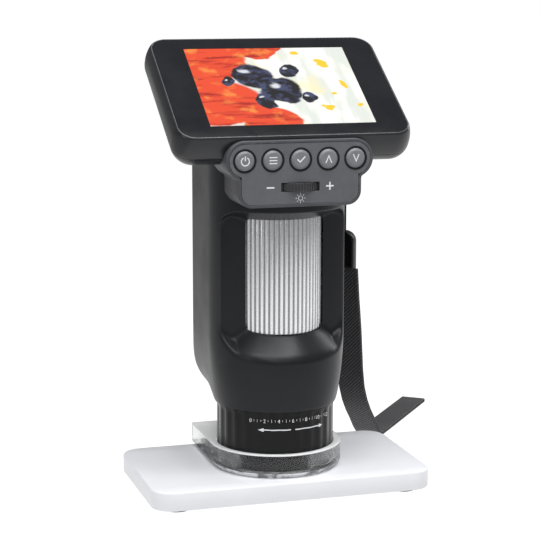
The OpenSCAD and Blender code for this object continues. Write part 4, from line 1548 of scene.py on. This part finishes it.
    def build(self) -> None:
        """Build the shell with its recess and fold its edges inwards."""
        angles, levels = self.angles(), self.levels()
        rows = [[self.skin(a, z) for a in angles] for z in levels]
        for share in steps(0, 1, 9)[1:]:
            row = []
            for a in angles:
                x, y, _ = self.skin(a, 100)
                low = self.hole_z[1]
                row.append((x, y, low + share * (self.top(y) - low) + PLATE_TOP))
            rows.append(row)
        first = rows[0]
        seam = self.seam[0]
        z_low, z_high = (levels.index(z) for z in self.hole_z)
        split = levels.index(self.seam[1])
        left, right = self.hole_angles

        def opened(k: int, i: int) -> bool:
            """Say whether a grid cell is the recess or the rear cover's.

            Args:
                k: row of the cell.
                i: column of the cell.

            Returns:
                True for a cell that stays open.
            """
            middle = (angles[i] + (angles[i + 1] if i + 1 < len(angles) else 360 + left)) / 2
            if left < middle < right and z_low <= k < z_high:
                return True
            return seam < middle < 180 - seam and k >= split

        surface = Surface()
        surface.strip(rows, skip=opened)
        bore, brim = self.mouth
        surface.strip([[(x * r / brim, y * r / brim, z + dz) for x, y, z in first] for r, dz in (
            (brim, 0), (brim - 0.15, 0), (bore + 0.1, 0.02), (bore, 0.2), (bore, 6))])
        self.build_recess(surface, rows, angles, z_low, z_high)
        self.fold_seam(surface, rows, angles, split)
        piece = surface.make("body_shell_skin", SHELL, Body.MICROSCOPE.value,
                             sharp=42, solid=False)
        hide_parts("body_shell")
        paint(SHELL, "rear_cover")
        paint(STEEL, "cover_screws")

    def build_recess(self, surface: Surface, rows: list[list[Point]], angles: list[float], z_low: int,
                     z_high: int) -> None:
        """Fill the grid's opening with the recess.

        Args:
            surface: the surface being built.
            rows: the grid.
            angles: its directions.
            z_low: index of the opening's lowest row.
            z_high: index of its highest row.
        """
        last = angles.index(self.hole_angles[1])
        rim = [rows[z_low][i] for i in range(0, last)] + [rows[k][last] for k in range(z_low, z_high)]
        rim += [rows[z_high][i] for i in range(last, 0, -1)]
        rim += [rows[k][0] for k in range(z_high, z_low, -1)]
        flat = [(x, z - PLATE_TOP) for x, _, z in rim]
        lip = [self.lip_point(x, z) for x, z in flat]
        window = [self.window_point(x, z) for x, z in flat]
        loops: list[list[Point]] = [rim]
        for t in (0.2, 0.4, 0.58, 0.72, 0.83, 0.92, 1.0):
            loops.append([self.recess_point(a, b, t, 0) for a, b in zip(flat, lip)])
        for t in (0.008, 0.018, 0.03, 0.045, 0.065, 0.09, 0.12, 0.16, 0.21, 0.27, 0.34, 0.42, 0.5, 0.59,
                  0.68, 0.76, 0.83, 0.89, 0.94, 0.97):
            loops.append([self.recess_point(a, b, t, 0) for a, b in zip(lip, window)])
        loops.append([self.recess_point(a, b, 0.99, 0.08) for a, b in zip(lip, window)])
        loops.append([self.recess_point(a, b, 1.0, 0.35) for a, b in zip(lip, window)])
        surface.strip(loops)
        fold = []
        aside, aloft = self.fold
        low, high = self.window_z[0] + 3.6, self.window_z[1] - 1.5
        for wx, wz in window:
            side = self.window[1] - abs(wx - self.window[0]) < aside
            x = wx + (math.copysign(aside, wx) if side else 0)
            z = wz if side and low < wz < high else wz + (aloft if wz > 84 else -aloft)
            fold.append((x, -math.sqrt(self.pocket ** 2 - x * x), z + PLATE_TOP))
        surface.strip([loops[-1], fold])

    def recess_point(self, start: Flat, end: Flat, t: float, sink: float) -> Point:
        """Return a point in the recess between two front-view points, pushed back by sink."""
        x, zp = start[0] + t * (end[0] - start[0]), start[1] + t * (end[1] - start[1])
        return x, self.recess_y(x, zp) + sink, zp + PLATE_TOP

    def fold_seam(self, surface: Surface, rows: list[list[Point]], angles: list[float], split: int) -> None:
        """Fold the shell's edge inwards along the rear cover.

        Args:
            surface: the surface being built.
            rows: the grid.
            angles: its directions.
            split: index of the row where the cover starts.
        """
        seam = self.seam[0]
        near, far = angles.index(seam), angles.index(180 - seam)
        edge = ([rows[k][near] for k in range(len(rows) - 1, split, -1)] + [rows[split][i]
                for i in range(near, far + 1)] + [rows[k][far] for k in range(split + 1, len(rows))])
        folds = [edge]
        for depth in (0.25, 1.6):
            folds.append([(x * (1 - depth / 38), y - depth * 0.9 if abs(x) < 30 else y, z)
                          for x, y, z in edge])
        surface.strip(folds, closed=False)


@dataclass
class FocusDrum:
    """Silver focus drum with sixty upright ribs."""

    radius: float = 20.0
    ribs: int = 60
    depth: float = 0.5
    bore: float = 17.4
    span: Flat = (59.5, 109.2)

    def build(self) -> None:
        """Build the ribbed drum with bevelled ends."""
        shape = ((-0.5, 0), (-0.33, 0.03), (-0.25, 0.2), (-0.19, 0.55), (-0.12, 0.86), (0, 1.0),
                 (0.12, 0.86), (0.19, 0.55), (0.25, 0.2), (0.33, 0.03))
        low, high = (z + PLATE_TOP for z in self.span)
        levels = ((low, 1.4), (low, 0.8), (low + 0.25, 0.25), (low + 0.8, 0), (high - 0.8, 0),
                  (high - 0.25, 0.25), (high, 0.8), (high, 1.4))
        surface = Surface()
        surface.strip(ribbed(self.radius, self.ribs, self.depth, shape, levels, self.bore), loop=True)
        piece = surface.make("drum_sleeve", DRUM, Body.DRUM.value, sharp=40)
        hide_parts("focus_drum")


# ------------------------------------------------------------------------------ display head


@dataclass
class DisplayHead:
    """Tilted display head: bezel shell, back, cover glass and lit picture."""

    size: Flat = (98.2, 67.6)
    corner: float = 7.6
    centre: Point = HEAD_CENTRE
    middle: float = -0.25
    picture: Flat = (70.08, 52.56)
    usb: Flat = (-4.2, 4.2)
    card: Flat = (-22.15, -7.85)
    bulge: float = 1.5
    widest: float = -7.0
    back_radius: float = 9.0

    def flank(self, n: float) -> float:
        """Return how far the flank stands out beyond the front edge at a depth.

        Args:
            n: depth along the screen's normal.

        Returns:
            The distance.
        """
        radius = (self.widest ** 2 + self.bulge ** 2) / (2 * self.bulge)
        if n > self.widest:
            return self.bulge - radius + math.sqrt(radius ** 2 - (n - self.widest) ** 2)
        low = min(0.0, n + HEAD_DEPTH - self.back_radius)
        return self.bulge - self.back_radius + math.sqrt(self.back_radius ** 2 - low ** 2)

    def place(self, x: float, v: float, n: float) -> Point:
        """Map a point of the head's frame into the model.

        Args:
            x: to the right.
            v: up the slope, from the head's middle.
            n: out of the screen.

        Returns:
            The point.
        """
        s, c = math.sin(TILT), math.cos(TILT)
        v += self.middle
        return self.centre[0] + x, self.centre[1] + v * c - n * s, self.centre[2] + v * s + n * c

    def outline(self, inset: float, n: float) -> list[Point]:
        """Return the rounded outline, smaller by inset, at a depth.

        Args:
            inset: how much smaller the outline is.
            n: depth along the screen's normal.

        Returns:
            The points.
        """
        radius = max(self.corner - inset, 0.5)
        w, h = self.size[0] / 2 - inset - radius, self.size[1] / 2 - inset - radius
        points = arc((w, -h), radius, -90, 0, 14)
        points += [(w + radius, v) for v in (*self.card, *self.usb)]
        for sx, sy, start in ((1, 1, 0), (-1, 1, 90), (-1, -1, 180)):
            points += arc((sx * w, sy * h), radius, start, start + 90, 14)
        return [self.place(a, b, n) for a, b in points]

    def build(self) -> None:
        """Build the shell, the glass and the picture, and dress the back."""
        self.build_shell()
        self.build_glass()
        self.build_picture()
        paint(HEAD, "display_back")
        paint(STEEL, "head_screws", "usb_socket", "card_slot")
        paint(LCD, "lcd_module")
        paint(PCB, "main_board")

    def build_shell(self) -> None:
        """Build the bezel with its two port openings on the right flank, and the lip around the glass,
        whose lighter grey is a painted highlight.
        """
        profile = [(2.4, -9.9), (2.4, -1.35), (0.82, -1.35), (0.8, -0.12), (0.72, -0.02), (0.52, 0.0),
                   (0.36, -0.04), (0.14, -0.2), (-0.1, -0.44), (-0.26, -0.68)]
        depths = (-1.0, -1.5, -2.2, -3.2, -4.4, -5.6, -6.9, -7.8, -9.0, -9.75)
        profile += [(-self.flank(n), n) for n in depths]
        profile += [(-self.flank(-9.75) + 0.14, -9.95), (-self.flank(-9.75) + 0.5, -9.97)]
        rows = [self.outline(inset, n) for inset, n in profile]
        first = 15
        top = {n: k for k, (_, n) in enumerate(profile)}

        def opened(k: int, i: int) -> bool:
            """Say whether a cell of the flank is a port's opening.

            Args:
                k: row of the cell.
                i: column of the cell.

            Returns:
                True for a cell that stays open.
            """
            usb = i == first + 2 and top[-6.9] <= k < top[-9.95]
            card = i == first and top[-7.8] <= k < top[-9.95]
            return usb or card

        surface = Surface()
        surface.strip(rows, skip=opened)
        for (low, high), start in ((self.usb, top[-6.9]), (self.card, top[-7.8])):
            side = [(n, self.size[0] / 2 - inset) for inset, n in profile[start:top[-9.95] + 1]]
            mouth = [(low, n, x) for n, x in side] + [(high, n, x) for n, x in reversed(side)]
            surface.strip([[self.place(x - sunk, v, n) for v, n, x in mouth] for sunk in (0, 0.35, 4.0)])
        piece = surface.make("head_bezel", HEAD, Body.MICROSCOPE.value, sharp=38,
                             solid=False)
        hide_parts("display_shell")
        # Thin lip around the glass, in a lighter grey that paints in the highlight line along the bezel's
        # edge.
        lip = Surface()
        lip.strip([self.outline(inset, n) for inset, n in ((0.79, -0.1), (0.7, 0.015), (0.5, 0.035),
                                                           (0.34, -0.03), (0.24, -0.15))])
        lip.make("head_lip_highlight", LIP_HIGHLIGHT, Body.MICROSCOPE.value, solid=False)

    def build_glass(self) -> None:
        """Build the black-bordered glass around the picture."""
        outer = [self.outline(inset, n) for inset, n in ((0.86, -1.1), (0.86, -0.2), (0.92, -0.06),
                                                         (1.1, -0.02))]
        flat = [(x, y) for x, y in self.local_outline(1.1)]
        half = (self.picture[0] / 2, self.picture[1] / 2)
        inner = []
        for x, v in flat:
            scale = min(half[0] / abs(x) if x else 1e9, half[1] / abs(v) if v else 1e9)
            inner.append((x * scale, v * scale))
        corners = [(sx * half[0], sy * half[1]) for sx, sy in ((1, -1), (1, 1), (-1, 1), (-1, -1))]
        for corner in corners:
            near = min(range(len(inner)), key=lambda i: math.dist(inner[i], corner))
            inner[near] = corner
        rows = outer + [[self.place(x, v, n) for x, v in inner] for n in (-0.02, -0.3)]
        surface = Surface()
        surface.strip(rows)
        piece = surface.make("head_glass", GLASS, Body.MICROSCOPE.value, sharp=30,
                             solid=False)
        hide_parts("cover_glass")

    def local_outline(self, inset: float) -> list[Flat]:
        """Return the outline in the head's own plane, centred on the picture.

        Args:
            inset: how much smaller the outline is.

        Returns:
            The points.
        """
        s, c = math.sin(TILT), math.cos(TILT)
        result = []
        for x, y, z in self.outline(inset, 0):
            dy, dz = y - self.centre[1], z - self.centre[2]
            result.append((x, dy * c + dz * s - self.middle))
        return result

    def build_picture(self) -> None:
        """Build the lit picture just under the glass, with its own UV map."""
        surface = Surface()
        count = (12, 9)
        rows = []
        for v in steps(-0.5, 0.5, count[1]):
            rows.append([self.place(u * self.picture[0], v * self.picture[1] - self.middle, -0.08)
                         for u in steps(-0.5, 0.5, count[0])])
            surface.uvs += [(u + 0.5, v + 0.5) for u in steps(-0.5, 0.5, count[0])]
        surface.strip(rows, closed=False)
        surface.make("head_picture", SCREEN, Body.MICROSCOPE.value, solid=False)


# ------------------------------------------------------------------------------ control panel


@dataclass
class ControlPanel:
    """Grey panel under the display with five buttons and the brightness wheel."""

    face: float = -35.0
    pill: Flat = (30.85, 7.95)
    block: Flat = (25.85, 5.8)
    centre_z: float = 134.45
    foot_z: float = 115.4
    fillet: float = 1.5
    pitch: float = 11.63
    rim: float = 1.15
    wheel: Point = (0.0, -25.65, 123.45)
    wheel_radius: float = 11.0
    wheel_bore: float = 2.08
    wheel_half: float = 1.7
    wheel_ribs: int = 54
    wheel_depth: float = 0.45

    def outline(self, inset: float) -> list[Flat]:
        """Return the panel's outline seen from the front, smaller by inset.

        Args:
            inset: how much smaller the outline is.

        Returns:
            The points.
        """
        end = self.pill[0] - self.pill[1]
        hook = (self.block[0] + self.fillet, self.centre_z - math.sqrt(
            (self.pill[1] + self.fillet) ** 2 - (self.block[0] + self.fillet - end) ** 2))
        lean = math.degrees(math.atan2(hook[1] - self.centre_z, hook[0] - end))
        low = (self.block[0] - self.block[1], self.foot_z + self.block[1])
        half = arc((end, self.centre_z), self.pill[1] - inset, 90, lean, 26)
        half += arc(hook, self.fillet + inset, lean + 180, 180, 6)
        half += arc(low, self.block[1] - inset, 0, -90, 12)
        return half + [(-x, z) for x, z in reversed(half)]

    def at(self, points: Sequence[Flat], y: float) -> list[Point]:
        """Stand a front view up at a depth."""
        return [(x, y, z + PLATE_TOP) for x, z in points]

    def build(self) -> None:
        """Build the housing, the caps with their symbols, the legends and the wheel."""
        rows = [self.at(self.outline(g), y) for g, y in (
            (self.rim + 0.6, self.face + 1.55), (self.rim, self.face + 1.5), (self.rim, self.face + 0.12),
            (self.rim - 0.1, self.face + 0.02), (self.rim - 0.3, self.face), (0.32, self.face),
            (0.1, self.face + 0.1), (0.0, self.face + 0.35), (0.0, self.face + 21.6),
            (0.4, self.face + 22), (2.1, self.face + 22))]
        surface = Surface()
        marks = surface.strip(rows)
        surface.cap(marks[-1])
        piece = surface.make("panel_case", SHELL_PANEL, Body.MICROSCOPE.value, sharp=50)
        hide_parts("panel_housing")
        paint(PANEL, "face_plate")
        paint(PCB, "switch_board")
        paint(STEEL, "tact_switches", "panel_screws")
        paint(INNER, "dimmer")
        keys = (("power", Mark.POWER), ("menu", Mark.LIST), ("ok", Mark.TICK), ("up", Mark.UP),
                ("down", Mark.DOWN))
        for index, (key, mark) in enumerate(keys):
            self.build_cap(key, mark, (index - 2) * self.pitch)
        self.build_legends()
        self.build_wheel()

    def build_cap(self, key: str, mark: Mark, x: float) -> None:
        """Build one button with its printed symbol and a black ring of painted shade in the gap around it.

        Args:
            key: which button.
            mark: its symbol.
            x: its place along the row.
        """
        front = self.face - 0.7
        profile = ((1.0, self.face + 3.75), (1.0, self.face + 2.4), (4.6, self.face + 2.4),
                   (4.6, self.face + 1.9), (4.0, self.face + 1.9), (4.0, self.face + 0.2),
                   (3.96, self.face + 0.05), (3.86, self.face - 0.06), (3.16, front + 0.07),
                   (3.04, front + 0.01), (2.9, front), (1.6, front + 0.03), (0.4, front + 0.04))

        def place(a: float, b: float, y: float) -> Point:
            """Put a point of the cap, given from its centre, into the model."""
            return x + a, y, self.centre_z + PLATE_TOP + b

        body = key + "_key"
        cap = turned(profile, 64, key + "_cap", CAPS, body, place)
        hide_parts(key + "_button")
        # Painted shade: a black ring fills the gap around the cap, where there is only shade.
        rim = ((4.12, self.face + 0.9), (4.12, self.face + 0.1), (4.2, self.face - 0.03),
               (4.78, self.face - 0.03), (4.88, self.face + 0.05), (4.88, self.face + 0.4))
        turned(rim, 64, key + "_gap_shade", INNER, Body.MICROSCOPE.value, place, loop=True)
        mesh = flat_mesh(self.mark_shapes(mark), 0.05, lambda a, b, h: place(a, b, front - 0.005 - h),
                         key + "_mark")
        adopt(mesh, key + "_mark", INK, body, solid=False)

    def mark_shapes(self, mark: Mark) -> list[list[Flat]]:
        """Return the outlines of a symbol.

        Args:
            mark: which symbol.

        Returns:
            The outlines.
        """
        if mark is Mark.POWER:
            ring = arc((0, -0.1), 1.85, 118, 422, 40) + arc((0, -0.1), 1.42, 422, 118, 40)
            return [ring, [(-0.22, 0.1), (0.22, 0.1), (0.22, 2.0), (-0.22, 2.0)]]
        if mark is Mark.LIST:
            return [[(-1.6, z - 0.22), (1.6, z - 0.22), (1.6, z + 0.22), (-1.6, z + 0.22)]
                    for z in (-1.2, 0, 1.2)]
        if mark is Mark.TICK:
            return [[(-1.8, 0.05), (-1.45, 0.38), (-0.45, -0.55), (1.5, 1.45), (1.85, 1.1), (-0.45, -1.25)]]
        sign = 1 if mark is Mark.UP else -1
        return [[(a, sign * b) for a, b in ((0, 1.7), (1.45, -1.6), (1.0, -1.6), (0, 0.75), (-1.0, -1.6),
                                            (-1.45, -1.6))]]

    def build_legends(self) -> None:
        """Print minus, plus and a sun beside the wheel."""
        z = self.wheel[2]
        shapes = [[(-14.2, z - 0.3), (-11.0, z - 0.3), (-11.0, z + 0.3), (-14.2, z + 0.3)]]
        a, b = 1.6, 0.3
        plus = [(-a, -b), (-b, -b), (-b, -a), (b, -a), (b, -b), (a, -b), (a, b), (b, b), (b, a), (-b, a),
                (-b, b), (-a, b)]
        shapes.append([(12.4 + p, z + q) for p, q in plus])
        sun = self.wheel[2] - 4.55
        shapes += [arc((0, sun), 1.0, 0, 345, 23), arc((0, sun), 0.78, 0, 345, 23)]
        for k in range(8):
            turn = Matrix.Rotation(math.radians(45 * k), 2)
            ray = [turn @ Vector(p) for p in ((1.38, -0.11), (2.05, -0.11), (2.05, 0.11), (1.38, 0.11))]
            shapes.append([(p.x, sun + p.y) for p in ray])

        def place(across: float, up: float, out: float) -> Point:
            """Put a point of the print on the panel's face."""
            return across, self.face + 0.08 - out, up + PLATE_TOP

        mesh = flat_mesh(shapes, 0.05, place, "panel_legends")
        adopt(mesh, "panel_legends", INK, Body.MICROSCOPE.value, solid=False)

    def build_wheel(self) -> None:
        """Build the brightness wheel with its fine ribs."""
        shape = ((-0.5, 1), (-0.36, 0.95), (-0.26, 0.25), (-0.16, 0.0), (0, 0), (0.16, 0.0), (0.26, 0.25),
                 (0.36, 0.95))
        half = self.wheel_half
        levels = ((-half, 1.2), (-half, 0.5), (-half + 0.3, 0.05), (-half + 0.5, 0), (half - 0.5, 0),
                  (half - 0.3, 0.05), (half, 0.5), (half, 1.2))
        rings = ribbed(self.wheel_radius, self.wheel_ribs, self.wheel_depth, shape, levels, self.wheel_bore)
        rows = [[(self.wheel[0] + x, self.wheel[1] + y, self.wheel[2] + PLATE_TOP + z) for x, y, z in ring]
                for ring in rings]
        surface = Surface()
        surface.strip(rows, loop=True)
        piece = surface.make("wheel_disc", WHEEL, Body.WHEEL.value, sharp=40)
        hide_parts("brightness_wheel")


# ------------------------------------------------------------------------------ strap


@dataclass
class Strap:
    """Carrying strap: thin cord from the lanyard eye, clasp and folded webbing."""

    direction: Flat = (0.622, 0.783)
    cord_at: Flat = (41.5, 29.29)
    eye_z: float = 161.7
    width: float = 12.0
    thickness: float = 0.84
    loop: float = 0.6
    tail: float = 69.0
    tail_z: float = 1.2
    clasp_z: Flat = (77.7, 94.7)
    clasp_half: float = 4.75
    clasp_thick: float = 2.5
    fall: tuple[Flat, ...] = (
        (0.2, 77.5), (2.7, 63.5), (6, 48.7), (8.9, 29.4), (11.4, 20.7), (15.6, 13.7), (20.8, 7.7),
        (26.2, 2.7), (31.7, -3), (36.2, -6.7), (39.7, -8))
    bend: tuple[Flat, ...] = (
        (0, -72.5), (0, -66.7), (0, -56.7), (0, -46.7), (0, -36.7), (0, -26.7), (0, -16.7), (0, -9.7),
        (-0.1, -4.7), (-0.1, -2.5), (0.1, -1.1), (0.6, -0.3), (1.4, 0), (2.2, -0.3), (2.7, -1.1),
        (2.9, -2.5), (2.7, -4.7), (2.2, -8.2))

    def in_plane(self, u: float, z: float, across: float) -> Point:
        """Map a point of the strap's upright plane into the model.

        Args:
            u: distance along the plane.
            z: height above the table.
            across: distance from the plane's middle.

        Returns:
            The point.
        """
        dx, dy = self.direction
        s = dy * self.cord_at[0] - dx * self.cord_at[1] + across
        return dx * u + dy * s, dy * u - dx * s, z

    def centreline(self) -> list[Vector]:
        """Return the strap's middle line in its plane, through its given points and then along the tail.

        Returns:
            The points.
        """
        start = self.direction[0] * self.cord_at[0] + self.direction[1] * self.cord_at[1]
        points = [Vector((start + u, z + PLATE_TOP)) for u, z in self.fall]
        end = points[-1].x
        return points + [Vector((end + k * self.tail / 4, self.tail_z)) for k in range(1, 5)]

    def sides(self, path: list[Vector]) -> list[Vector]:
        """Return a unit vector square to the path at each of its points.

        Args:
            path: points of the line.

        Returns:
            The unit vectors.
        """
        result = []
        for i in range(len(path)):
            step = path[min(i + 1, len(path) - 1)] - path[max(i - 1, 0)]
            step.normalize()
            result.append(Vector((-step.y, step.x)))
        return result

    def build(self) -> None:
        """Build webbing, clasp and cord."""
        self.build_webbing()
        self.build_cord([self.build_clasp()])

    def build_webbing(self) -> None:
        """Build the two layers of webbing and the fold that joins them."""
        path = self.centreline()
        sides = self.sides(path)
        upper = [p + self.loop * s for p, s in zip(path, sides)]
        lower = [p - self.loop * s for p, s in zip(path, sides)]
        end = path[-1]
        fold = [end + self.loop * Vector((math.cos(math.radians(a)), math.sin(math.radians(a))))
                for a in (60, 30, 0, -30, -60)]
        line = upper + fold + lower[::-1]
        across = self.sides(line)
        half, thick = self.width / 2, self.thickness / 2
        section = [(-half, -0.2), (-half, 0.2), (-half + 0.25, thick * 0.92), (-half + 0.8, thick)]
        section += [(w, thick * (1 if k % 2 else 0.93))
                    for k, w in enumerate(steps(-half + 1.6, half - 1.6, 8))]
        section += [(half - 0.8, thick), (half - 0.25, thick * 0.92), (half, 0.2), (half, -0.2)]
        section += [(w, -h) for w, h in reversed(section[2:-2])]
        surface = Surface()
        rows, run = [], 0.0
        for i, (point, side) in enumerate(zip(line, across)):
            run += (point - line[i - 1]).length if i else 0
            rows.append([self.in_plane(point.x + h * side.x, point.y + h * side.y, w) for w, h in section])
            surface.uvs += [(run, w + (20 if h < 0 else 0)) for w, h in section]
        surface.capped(rows)
        piece = surface.make("strap_loop", STRAP, Body.MICROSCOPE.value, sharp=60)
        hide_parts("strap_webbing")

    def build_clasp(self) -> bpy.types.Object:
        """Build the clasp: a rounded plate with a raised rim.

        Returns:
            The clasp.
        """
        half, thick = self.clasp_half, self.clasp_thick
        top = self.clasp_z[1] - half
        base = self.direction[0] * self.cord_at[0] + self.direction[1] * self.cord_at[1]

        def outline(g: float) -> list[Flat]:
            """Return the clasp's outline, smaller by g.

            Args:
                g: how much smaller the outline is.

            Returns:
                The points.
            """
            low = self.clasp_z[0] + g
            return ([(half - g, z) for z in steps(low, top, 5)[:-1]] + arc((0, top), half - g, 0, 180, 24)
                    + [(g - half, z) for z in steps(top, low, 5)[1:]])

        surface = Surface()
        rows = []
        for g, d in ((1.5, -thick + 0.5), (1.2, -thick + 0.05), (0.6, -thick), (0.15, -thick + 0.25),
                     (0.0, -thick + 0.7), (0.0, thick - 0.7), (0.15, thick - 0.25), (0.6, thick),
                     (1.2, thick - 0.05), (1.5, thick - 0.5)):
            rows.append([self.in_plane(base + d, z + PLATE_TOP, w) for w, z in outline(g)])
        surface.capped(rows)
        piece = surface.make("clasp_body", CLASP, Body.MICROSCOPE.value, sharp=45)
        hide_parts("strap_clasp")
        return piece

    def build_cord(self, with_pieces: list[bpy.types.Object]) -> None:
        """Args:
            with_pieces: not used.
        """
        route = [((self.cord_at[0] + x) * MM, self.cord_at[1] * MM, (self.eye_z + z + PLATE_TOP) * MM)
                 for x, z in self.bend]
        curve = bpy.data.curves.new("lanyard_cord", "CURVE")
        curve.dimensions = "3D"
        curve.bevel_depth = 0.55 * MM
        curve.bevel_resolution = 4
        curve.use_fill_caps = True
        spline = curve.splines.new("POLY")
        spline.points.add(len(route) - 1)
        for point, co in zip(spline.points, route):
            point.co = (*co, 1)
        piece = bpy.data.objects.new("lanyard_cord", curve)
        bpy.context.scene.collection.objects.link(piece)
        curve.materials.append(CORD.material())
        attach(piece, Body.MICROSCOPE.value)
        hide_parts("strap_cord")
        length = sum(math.dist(a, b) for a, b in zip(route, route[1:]))
        LOG.info("lanyard_cord: %.1f mm long", length / MM)


# ------------------------------------------------------------------------------ innards and studio


class Innards:
    """Finishes of the CAD nodes inside the body and the nose."""

    def build(self) -> None:
        """Dress every inner node."""
        paint(INNER, "optics_frame", "lens_carriage", "nose_tube")
        paint(STEEL, "guide_tube")
        paint(PCB, "image_sensor_board", "light_board")
        paint(WRAP, "battery")
        paint(LED, "leds")
        paint(MILKY, "diffuser")
        paint(LENS, "objective_lens")


@dataclass(frozen=True)
class Lamp:
    """A soft box: where it hangs, its sides and its power in watts."""

    name: str
    place: Point
    size: Flat
    power: float
    target: Point = (0, 0, 100)


@dataclass
class Studio:
    """Floor, soft lights and camera."""

    camera: Point = (-211.12, -692.22, 219.23)
    back: Point = (-0.2846, -0.9432, 0.1718)
    lens: float = 115.44
    roll: float = 0.07
    world: float = 0.22
    lamps: tuple[Lamp, ...] = (
        Lamp("top_box", (-60, -200, 760), (620, 440), 6.3),
        Lamp("key_box", (-240, -560, 640), (340, 240), 1.0),
        Lamp("left_box", (-560, -330, 330), (110, 420), 0.35),
        Lamp("right_strip", (520, 200, 380), (120, 420), 1.0),
        Lamp("spark_box", (200, -215, 760), (130, 130), 1.0, target=(0, -20, 70)))

    def build(self) -> None:
        """Set the stage."""
        bpy.context.scene.view_settings.view_transform = "Standard"
        self.build_floor()
        self.build_lights()
        self.build_camera()

    def build_floor(self) -> None:
        """Lay a pale floor and a soft white world."""
        mesh = bpy.data.meshes.new("studio_ground")
        mesh.from_pydata([(-15, -4, 0), (15, -4, 0), (15, 40, 0), (-15, 40, 0)], [], [(0, 1, 2, 3)])
        mesh.materials.append(FLOOR.material())
        ground = bpy.data.objects.new("studio_ground", mesh)
        bpy.context.scene.collection.objects.link(ground)
        world = bpy.context.scene.world or bpy.data.worlds.new("studio_world")
        bpy.context.scene.world = world
        world.use_nodes = True
        back = world.node_tree.nodes.get("Background") or world.node_tree.nodes.new("ShaderNodeBackground")
        back.inputs[0].default_value = (1, 1, 1, 1)
        back.inputs[1].default_value = self.world

    def build_lights(self) -> None:
        """Hang the soft boxes, each turned to its target."""
        for lamp in self.lamps:
            data = bpy.data.lights.new(lamp.name, "AREA")
            data.shape = "RECTANGLE"
            data.size, data.size_y = lamp.size[0] * MM, lamp.size[1] * MM
            data.energy = lamp.power
            box = bpy.data.objects.new(lamp.name, data)
            bpy.context.scene.collection.objects.link(box)
            box.location = Vector(lamp.place) * MM
            sight = Vector(lamp.target) - Vector(lamp.place)
            box.rotation_euler = sight.to_track_quat("-Z", "Y").to_euler()

    def build_camera(self) -> None:
        """Place the camera at its fitted pose."""
        data = bpy.data.cameras.new("studio_camera")
        data.lens = self.lens
        data.sensor_width = 36
        data.clip_start = 0.01
        view = bpy.data.objects.new("studio_camera", data)
        bpy.context.scene.collection.objects.link(view)
        back = Vector(self.back).normalized()
        right = Vector((0, 0, 1)).cross(back).normalized()
        up = back.cross(right)
        turn = math.radians(self.roll)
        right, up = (math.cos(turn) * right + math.sin(turn) * up,
                     math.cos(turn) * up - math.sin(turn) * right)
        pose = Matrix((right, up, back)).transposed().to_4x4()
        pose.translation = Vector(self.camera) * MM
        view.matrix_world = pose
        bpy.context.scene.camera = view


@dataclass
class Microscope:
    """The whole instrument, built from its sub-assemblies."""

    parts: tuple[object, ...] = field(default_factory=lambda: (
        Strap(), StandBase(), ClearHolder(), DistanceRing(), MicroscopeBody(), FocusDrum(), DisplayHead(),
        ControlPanel(), Innards()))

    def build(self) -> None:
        """Build every sub-assembly."""
        for part in self.parts:
            part.build()
            LOG.info("%s built", type(part).__name__)


def main() -> None:
    """Build the studio and the instrument."""
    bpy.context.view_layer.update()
    Studio().build()
    Microscope().build()
    bpy.context.view_layer.update()


if __name__ == "__main__":
    main()
